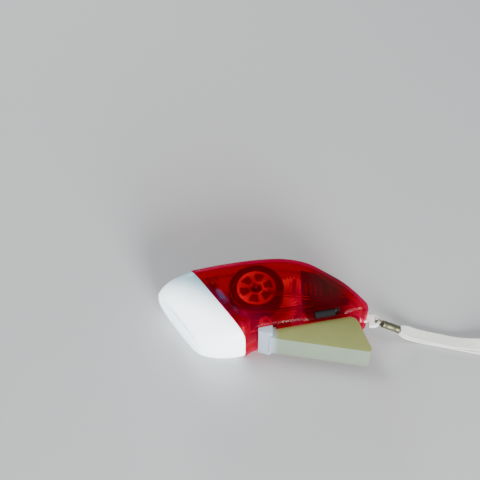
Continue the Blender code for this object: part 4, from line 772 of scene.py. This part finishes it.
def smooth_faces(piece, angle):
    """Smooth shading, with sharp edges kept above an angle in degrees."""
    pick(piece)
    bpy.ops.object.shade_smooth_by_angle(angle=math.radians(angle))


def softened(node, finish, body, rim, angle, segments=2):
    """A copy of a CAD node with its edges rounded, standing for it."""
    piece = merged_copy(node, f"{node}_moulded")
    if rim:
        apply_modifier(
            piece,
            "BEVEL",
            width=rim,
            segments=segments,
            limit_method="ANGLE",
            angle_limit=math.radians(angle),
        )
    smooth_faces(piece, angle)
    dress(piece, finish, body)
    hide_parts(node)
    return piece


def begin_edit(piece):
    """Goes into edit mode on a piece with nothing selected."""
    pick(piece)
    bpy.ops.object.mode_set(mode="EDIT")
    bpy.ops.mesh.select_all(action="DESELECT")


def end_edit():
    """Back to object mode."""
    bpy.ops.object.mode_set(mode="OBJECT")


def select_faces(piece, wanted):
    """Selects the faces that pass a test, in edit mode."""
    bpy.ops.mesh.select_mode(type="FACE")
    shape = bmesh.from_edit_mesh(piece.data)
    for face in shape.faces:
        face.select_set(wanted(face))
    bmesh.update_edit_mesh(piece.data)


def select_points(piece, wanted):
    """Selects the vertices that pass a test, in edit mode."""
    bpy.ops.mesh.select_mode(type="VERT")
    shape = bmesh.from_edit_mesh(piece.data)
    for point in shape.verts:
        point.select_set(wanted(point.co))
    shape.select_flush_mode()
    bmesh.update_edit_mesh(piece.data)


def stretch_selected(across, rise=0.0):
    """Scales the selection about the z axis and lifts it."""
    bpy.context.scene.tool_settings.transform_pivot_point = "CURSOR"
    bpy.ops.transform.resize(value=(across, across, 1))
    if rise:
        bpy.ops.transform.translate(value=(0, 0, rise))


def set_along(piece, start, ahead):
    """Lays a piece modelled up the z axis along a direction, with its place in its mesh."""
    turn = Vector(ahead).to_track_quat("Z", "Y").to_matrix().to_4x4()
    piece.matrix_world = Matrix.Translation(start) @ turn
    pick(piece)
    bpy.ops.object.transform_apply(location=True, rotation=True, scale=True)


def rod(name, radius, length, sides=24):
    """A rod up the z axis from the origin."""
    bpy.ops.object.select_all(action="DESELECT")
    bpy.ops.mesh.primitive_cylinder_add(
        vertices=sides, radius=radius, depth=length, location=(0, 0, length / 2)
    )
    piece = bpy.context.active_object
    piece.name = name
    piece.data.name = name
    pick(piece)
    bpy.ops.object.transform_apply(location=True, rotation=True, scale=True)
    return piece


def reach(node, ahead):
    """Where a CAD node starts on its axis, its direction made a unit, its length and its radius."""
    ahead = Vector(ahead).normalized()
    points = [point.co for point in frame["nodes"][node].data.vertices]
    along = [point.dot(ahead) for point in points]
    low, high = min(along), max(along)
    middle = sum((p - ahead * a for p, a in zip(points, along)), Vector()) / len(points)
    radius = max((p - ahead * a - middle).length for p, a in zip(points, along))
    return middle + ahead * low, ahead, high - low, radius


def smooth_through(points, steps):
    """A Catmull-Rom curve through the points, in any number of dimensions."""
    points = [Vector(p) for p in points]
    padded = [2 * points[0] - points[1], *points, 2 * points[-1] - points[-2]]
    curve = []
    for before, here, there, after in zip(padded, padded[1:], padded[2:], padded[3:]):
        for i in range(steps):
            t = i / steps
            curve.append(
                0.5
                * (
                    2 * here
                    + (there - before) * t
                    + (2 * before - 5 * here + 4 * there - after) * t**2
                    + (3 * here - before - 3 * there + after) * t**3
                )
            )
    return [*curve, points[-1]]


# Operators
class Studio(bpy.types.Operator):
    """Sets the camera at the photographed angle, a pale floor and soft lights"""

    bl_idname = "torch.studio"
    bl_label = "Studio"

    def execute(self, context):
        sizes = context.scene.torch_sizes
        high = sizes.camera_height
        back = Vector((0, -math.cos(high), math.sin(high)))
        camera = bpy.data.objects.new("camera", bpy.data.cameras.new("camera"))
        context.scene.collection.objects.link(camera)
        camera.location = CAMERA_AIM + back * sizes.camera_distance
        camera.rotation_euler = (math.pi / 2 - high, 0, 0)
        camera.data.sensor_width = 36
        camera.data.lens = 82.6
        camera.data.clip_start = 0.01
        context.scene.camera = camera

        bpy.ops.object.select_all(action="DESELECT")
        bpy.ops.mesh.primitive_plane_add(size=40, location=(0, 0, -0.1 * MM))
        floor = context.active_object
        floor.name = "studio_floor"
        floor.data.materials.append(finish_named("studio_floor"))

        world = bpy.data.worlds.new("studio")
        world.use_nodes = True
        sky = world.node_tree.nodes["Background"]
        sky.inputs["Color"].default_value = (0.93, 0.96, 1.0, 1)
        sky.inputs["Strength"].default_value = 0.42
        context.scene.world = world
        for name, place, size, power in (
            ("front", (0.35, -0.95, 0.36), 0.45, 27.0),
            ("above", (-0.45, 0.2, 0.85), 0.4, 5.0),
            ("behind", (-0.25, 1.0, 0.35), 0.3, 6.0),
        ):
            light = bpy.data.objects.new(name, bpy.data.lights.new(name, "AREA"))
            context.scene.collection.objects.link(light)
            light.location = place
            light.data.size = size
            light.data.energy = power
            light.rotation_euler = (-Vector(place)).to_track_quat("-Z", "Y").to_euler()
        return {"FINISHED"}


class WristStrap(bpy.types.Operator):
    """Weaves the wrist strap along its route, with its crimp, wire eye and lug"""

    bl_idname = "torch.wrist_strap"
    bl_label = "Wrist Strap"

    def execute(self, context):
        sizes = context.scene.torch_sizes
        crimp = self.crimp()
        eye = softened("strap_eye", "crimp_plated", "torch", 0, 60)
        softened("strap_lug", "lug_white", "torch", 0.3 * MM, 40, 3)
        dress_node("strap_pin", "steel_bright")

        rows = smooth_through(STRAP_ROUTE, 6)
        route = [Vector(row[:3]) * MM for row in rows]
        along = [0.0]
        for here, there in zip(route, route[1:]):
            along.append(along[-1] + (there - here).length)
        strap = self.webbing(rows, route, along, sizes.strap_width / 2, sizes.strap_thickness / 2)
        return {"FINISHED"}

    def webbing(self, rows, route, along, half, thick):
        """The webbing: its section set across the route at every row, and closed at both ends."""
        shape = bmesh.new()
        weave = shape.loops.layers.uv.new("weave")
        section = self.section(half, thick)
        rings = []
        for number, (row, place) in enumerate(zip(rows, route)):
            ahead = route[min(number + 1, len(route) - 1)] - route[max(number - 1, 0)]
            ahead.normalize()
            side = Vector((0, 0, 1)).cross(ahead).normalized()
            above = ahead.cross(side)
            twist = math.radians(row[3])
            wide = side * math.cos(twist) + above * math.sin(twist)
            deep = ahead.cross(wide)
            rings.append([shape.verts.new(place + wide * a * row[4] + deep * b) for a, b in section])
        count = len(section)
        for number, (low, high) in enumerate(zip(rings, rings[1:])):
            for i in range(count):
                j = (i + 1) % count
                face = shape.faces.new((low[i], low[j], high[j], high[i]))
                for loop, (corner, step) in zip(face.loops, ((i, 0), (j, 0), (j, 1), (i, 1))):
                    across = section[corner][0] / (2 * half) + 0.5
                    loop[weave].uv = (across, along[number + step] / MM)
        shape.faces.new(reversed(rings[0]))
        shape.faces.new(rings[-1])
        bmesh.ops.recalc_face_normals(shape, faces=shape.faces)
        mesh = bpy.data.meshes.new("strap_webbing")
        shape.to_mesh(mesh)
        shape.free()
        strap = bpy.data.objects.new("strap_webbing", mesh)
        bpy.context.scene.collection.objects.link(strap)
        smooth_faces(strap, 50)
        dress(strap, "strap_weave", "torch")
        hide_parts("wrist_strap")
        return strap

    @staticmethod
    def crimp():
        """The crimp barrel: rolled ends, two pressed grooves and a mouth for the webbing."""
        start, ahead, length, radius = reach("strap_crimp", CRIMP_AHEAD)
        barrel = rod("strap_crimp_pressed", radius * 0.99, length, 32)
        begin_edit(barrel)
        for share in (0.2, 0.25, 0.3, 0.7, 0.75, 0.8):
            bpy.ops.mesh.select_all(action="SELECT")
            bpy.ops.mesh.bisect(plane_co=(0, 0, share * length), plane_no=(0, 0, 1))
        for share in (0.25, 0.75):
            select_points(barrel, lambda co, at=share * length: abs(co.z - at) < 0.05 * MM)
            stretch_selected(0.86)
        select_faces(barrel, lambda face: abs(face.normal.z) > 0.9)
        bpy.ops.mesh.inset(thickness=0.35 * MM, depth=0)
        bpy.ops.mesh.inset(thickness=0.05 * MM, depth=-0.5 * MM)
        end_edit()
        apply_modifier(
            barrel,
            "BEVEL",
            width=0.18 * MM,
            segments=3,
            limit_method="ANGLE",
            angle_limit=math.radians(40),
        )
        set_along(barrel, start, ahead)
        smooth_faces(barrel, 50)
        dress(barrel, "crimp_plated", "torch")
        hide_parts("strap_crimp")
        return barrel

    @staticmethod
    def section(half, thick):
        """The webbing's section: flat faces that dip a little beside thicker selvedges."""
        upper = []
        for share in (-0.99, -0.94, -0.86, -0.7, -0.4, 0, 0.4, 0.7, 0.86, 0.94, 0.99):
            rise = {0.99: 0.45, 0.94: 0.85, 0.86: 1.0}.get(abs(share), 0.86)
            upper.append((share * half, rise * thick))
        return [*upper, *[(a, -b) for a, b in reversed(upper)]]


class Shells(bpy.types.Operator):
    """Moulds the two clear red shells and sets their screws"""

    bl_idname = "torch.shells"
    bl_label = "Shells"

    def execute(self, context):
        rim = context.scene.torch_sizes.shell_rim
        for node in ("housing_bottom", "housing_top"):
            softened(node, "shell_red", "torch", rim, 40)
        for number in (1, 2, 3):
            softened(f"housing_screw_{number}", "steel_bright", "torch", 0.08 * MM, 40)
        return {"FINISHED"}


class Head(bpy.types.Operator):
    """Makes the glowing bezel, window, lamps, reflector and lamp board"""

    bl_idname = "torch.head"
    bl_label = "Head"

    def execute(self, context):
        softened("bezel", "head_ice", "torch", 0.3 * MM, 35, 3)
        softened("lens", "window_clear", "torch", 0, 35)
        for number in (1, 2, 3):
            self.lamp(number)
        softened("reflector", "reflector_plated", "torch", 0, 35)
        softened("lamp_board", "board_lamp", "torch", 0.1 * MM, 40)
        return {"FINISHED"}

    @staticmethod
    def lamp(number):
        """One lamp: a clear flanged dome with its lit chip and cup inside."""
        start, ahead, length, radius = reach(f"led_{number}", LAMPS_AHEAD)
        radius *= 0.98
        dome = rod(f"lamp_dome_{number}", radius, 1.0 * MM, 32)
        begin_edit(dome)
        select_faces(dome, lambda face: face.normal.z > 0.9)
        bpy.ops.mesh.inset(thickness=0.3 * MM, depth=0)
        inner = radius - 0.3 * MM
        body = length - 1.0 * MM - inner
        bpy.ops.mesh.extrude_region_move(TRANSFORM_OT_translate={"value": (0, 0, body)})
        before = 1.0
        for step in range(1, 8):
            angle = math.pi / 2 * step / 8
            bpy.ops.mesh.extrude_region_move()
            rise = inner * (math.sin(angle) - math.sin(angle - math.pi / 16))
            stretch_selected(math.cos(angle) / before, rise)
            before = math.cos(angle)
        end_edit()
        smooth_faces(dome, 40)
        core = rod(f"lamp_core_{number}", radius * 0.62, length * 0.5, 24)
        begin_edit(core)
        select_faces(core, lambda face: face.normal.z > 0.9)
        bpy.ops.mesh.inset(thickness=0.25 * MM, depth=0)
        bpy.ops.mesh.extrude_region_move(TRANSFORM_OT_translate={"value": (0, 0, -0.6 * MM)})
        stretch_selected(0.55)
        end_edit()
        smooth_faces(core, 40)
        for piece, finish in ((dome, "lamp_clear"), (core, "lamp_lit")):
            set_along(piece, start, ahead)
            dress(piece, finish, "torch")
        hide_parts(f"led_{number}")


class Lever(bpy.types.Operator):
    """Moulds the squeeze lever and sets its pin, spring and rack"""

    bl_idname = "torch.lever"
    bl_label = "Lever"

    def execute(self, context):
        rim = context.scene.torch_sizes.lever_rim
        softened("lever", "lever_grey", "lever", rim, 35, 3)
        softened("lever_pin", "steel_bright", "torch", 0, 40)
        softened("lever_spring", "steel_bright", "torch", 0, 60)
        softened("drive_rack", "gear_nylon", "lever", 0.06 * MM, 40, 1)
        softened("rack_screw", "steel_bright", "lever", 0.06 * MM, 40)
        return {"FINISHED"}


class GearTrain(bpy.types.Operator):
    """Makes the gears, their shafts and the flywheel with its magnet"""

    bl_idname = "torch.gear_train"
    bl_label = "Gear Train"

    def execute(self, context):
        softened("first_gear", "gear_nylon", "first_gear", 0.06 * MM, 40, 1)
        softened("second_gear", "gear_nylon", "second_gear", 0.06 * MM, 40, 1)
        for node in ("first_shaft", "second_shaft", "rotor_shaft"):
            softened(node, "steel_bright", "torch", 0, 40)
        softened("flywheel", "flywheel_steel", "rotor", 0.15 * MM, 40)
        softened("ring_magnet", "ferrite_grey", "rotor", 0.15 * MM, 40)
        return {"FINISHED"}


class Generator(bpy.types.Operator):
    """Makes the bobbin, its winding and the pole plates"""

    bl_idname = "torch.generator"
    bl_label = "Generator"

    def execute(self, context):
        softened("bobbin", "gear_nylon", "torch", 0.08 * MM, 40)
        softened("winding", "winding_copper", "torch", 0.1 * MM, 40)
        for node in ("lower_pole_plate", "upper_pole_plate"):
            softened(node, "steel_plate", "torch", 0.08 * MM, 40)
        return {"FINISHED"}


class Electronics(bpy.types.Operator):
    """Makes the circuit board with its parts, the switch and the wires"""

    bl_idname = "torch.electronics"
    bl_label = "Electronics"

    def execute(self, context):
        softened("circuit_board", "board_lacquer", "torch", 0.1 * MM, 40)
        for number in (1, 2, 3, 4):
            softened(f"diode_{number}", "diode_amber", "torch", 0, 40)
        softened("capacitor", "can_dark", "torch", 0.12 * MM, 40)
        softened("storage_cell", "cell_sleeve_blue", "torch", 0.2 * MM, 40)
        softened("switch_body", "steel_dark", "torch", 0.12 * MM, 40)
        self.knob()
        self.leads()
        for node, finish, slot in (
            ("lamp_wire_red", "sleeve_red", "wire_red"),
            ("lamp_wire_black", "sleeve_black", "wire_black"),
            ("cell_wire_red", "sleeve_red", "wire_red"),
            ("cell_wire_black", "sleeve_black", "wire_black"),
            ("coil_wire_1", "copper_bare", "copper"),
            ("coil_wire_2", "copper_bare", "copper"),
        ):
            softened(node, finish, "torch", 0, 60)
        return {"FINISHED"}

    @staticmethod
    def knob():
        """The slide knob with grooves pressed across its top for the thumb."""
        knob = merged_copy("switch_knob", "switch_knob_grooved")
        low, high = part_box("switch_knob")
        middle = (low + high) / 2
        along = Vector((math.cos(KNOB_ANGLE), math.sin(KNOB_ANGLE), 0))
        top = max(knob.data.polygons, key=lambda face: face.normal.z * face.area).normal.copy()
        first = middle + along * (0.5 - KNOB_GROOVES) * KNOB_GROOVE_PITCH
        begin_edit(knob)
        for step in range(2 * KNOB_GROOVES + 1):
            bpy.ops.mesh.select_all(action="SELECT")
            place = first + along * step * KNOB_GROOVE_PITCH
            bpy.ops.mesh.bisect(plane_co=place, plane_no=along)

        def sunk(face):
            share = (face.calc_center_median() - first).dot(along) / KNOB_GROOVE_PITCH
            in_row = 0 <= share < 2 * KNOB_GROOVES and int(share) % 2 == 0
            return in_row and face.normal.dot(top) >= 0.99

        select_faces(knob, sunk)
        bpy.ops.mesh.inset(thickness=0.08 * MM, depth=-0.3 * MM, use_individual=True)
        end_edit()
        smooth_faces(knob, 30)
        dress(knob, "knob_dark", "switch_slider")
        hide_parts("switch_knob")

    @staticmethod
    def leads():
        """Tinned leads and solder cones at both ends of the four diodes."""
        board_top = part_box("circuit_board")[1].z
        parts = []
        for number in (1, 2, 3, 4):
            low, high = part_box(f"diode_{number}")
            x, z = (low.x + high.x) / 2, (low.z + high.z) / 2
            for end, way in ((low.y, -1), (high.y, 1)):
                lead = rod("lead", 0.22 * MM, 0.9 * MM, 10)
                set_along(lead, (x, end - way * 0.1 * MM, z), (0, way, 0))
                bpy.ops.object.select_all(action="DESELECT")
                tall = z + 0.22 * MM - board_top
                bpy.ops.mesh.primitive_cone_add(
                    vertices=14,
                    radius1=0.62 * MM,
                    radius2=0.2 * MM,
                    depth=tall,
                    location=(x, end + way * 0.7 * MM, board_top + tall / 2),
                )
                parts += [lead, bpy.context.active_object]
        bpy.ops.object.select_all(action="DESELECT")
        for part in parts:
            part.select_set(True)
        bpy.context.view_layer.objects.active = parts[0]
        bpy.ops.object.join()
        joints = bpy.context.active_object
        joints.name = "diode_leads"
        joints.data.name = "diode_leads"
        bpy.ops.object.transform_apply(location=True, rotation=True, scale=True)
        smooth_faces(joints, 40)
        dress(joints, "solder_tin", "torch")


class TorchPanel(bpy.types.Panel):
    """Lists the torch's sizes, colours and pieces"""

    bl_idname = "VIEW3D_PT_torch"
    bl_label = "Squeeze Torch"
    bl_space_type = "VIEW_3D"
    bl_region_type = "UI"
    bl_category = "Torch"

    def draw(self, context):
        layout = self.layout
        for group in (context.scene.torch_sizes, context.scene.torch_colours):
            column = layout.column(align=True)
            for name in group.__annotations__:
                column.prop(group, name)
        column = layout.column(align=True)
        for operator in OPERATORS:
            column.operator(operator.bl_idname)


OPERATORS = (Studio, WristStrap, Shells, Head, Lever, GearTrain, Generator, Electronics)
CLASSES = (TorchSizes, TorchColours, *OPERATORS, TorchPanel)


def register():
    """Registers the classes and the scene's settings."""
    for item in CLASSES:
        bpy.utils.register_class(item)
    bpy.types.Scene.torch_sizes = bpy.props.PointerProperty(type=TorchSizes)
    bpy.types.Scene.torch_colours = bpy.props.PointerProperty(type=TorchColours)


def unregister():
    """Takes the settings and classes away again."""
    del bpy.types.Scene.torch_colours
    del bpy.types.Scene.torch_sizes
    for item in reversed(CLASSES):
        bpy.utils.unregister_class(item)


def main():
    """Makes every piece in order."""
    register()
    bpy.ops.torch.studio()
    bpy.ops.torch.wrist_strap()
    bpy.ops.torch.shells()
    bpy.ops.torch.head()
    bpy.ops.torch.lever()
    bpy.ops.torch.gear_train()
    bpy.ops.torch.generator()
    bpy.ops.torch.electronics()


if __name__ == "__main__":
    main()
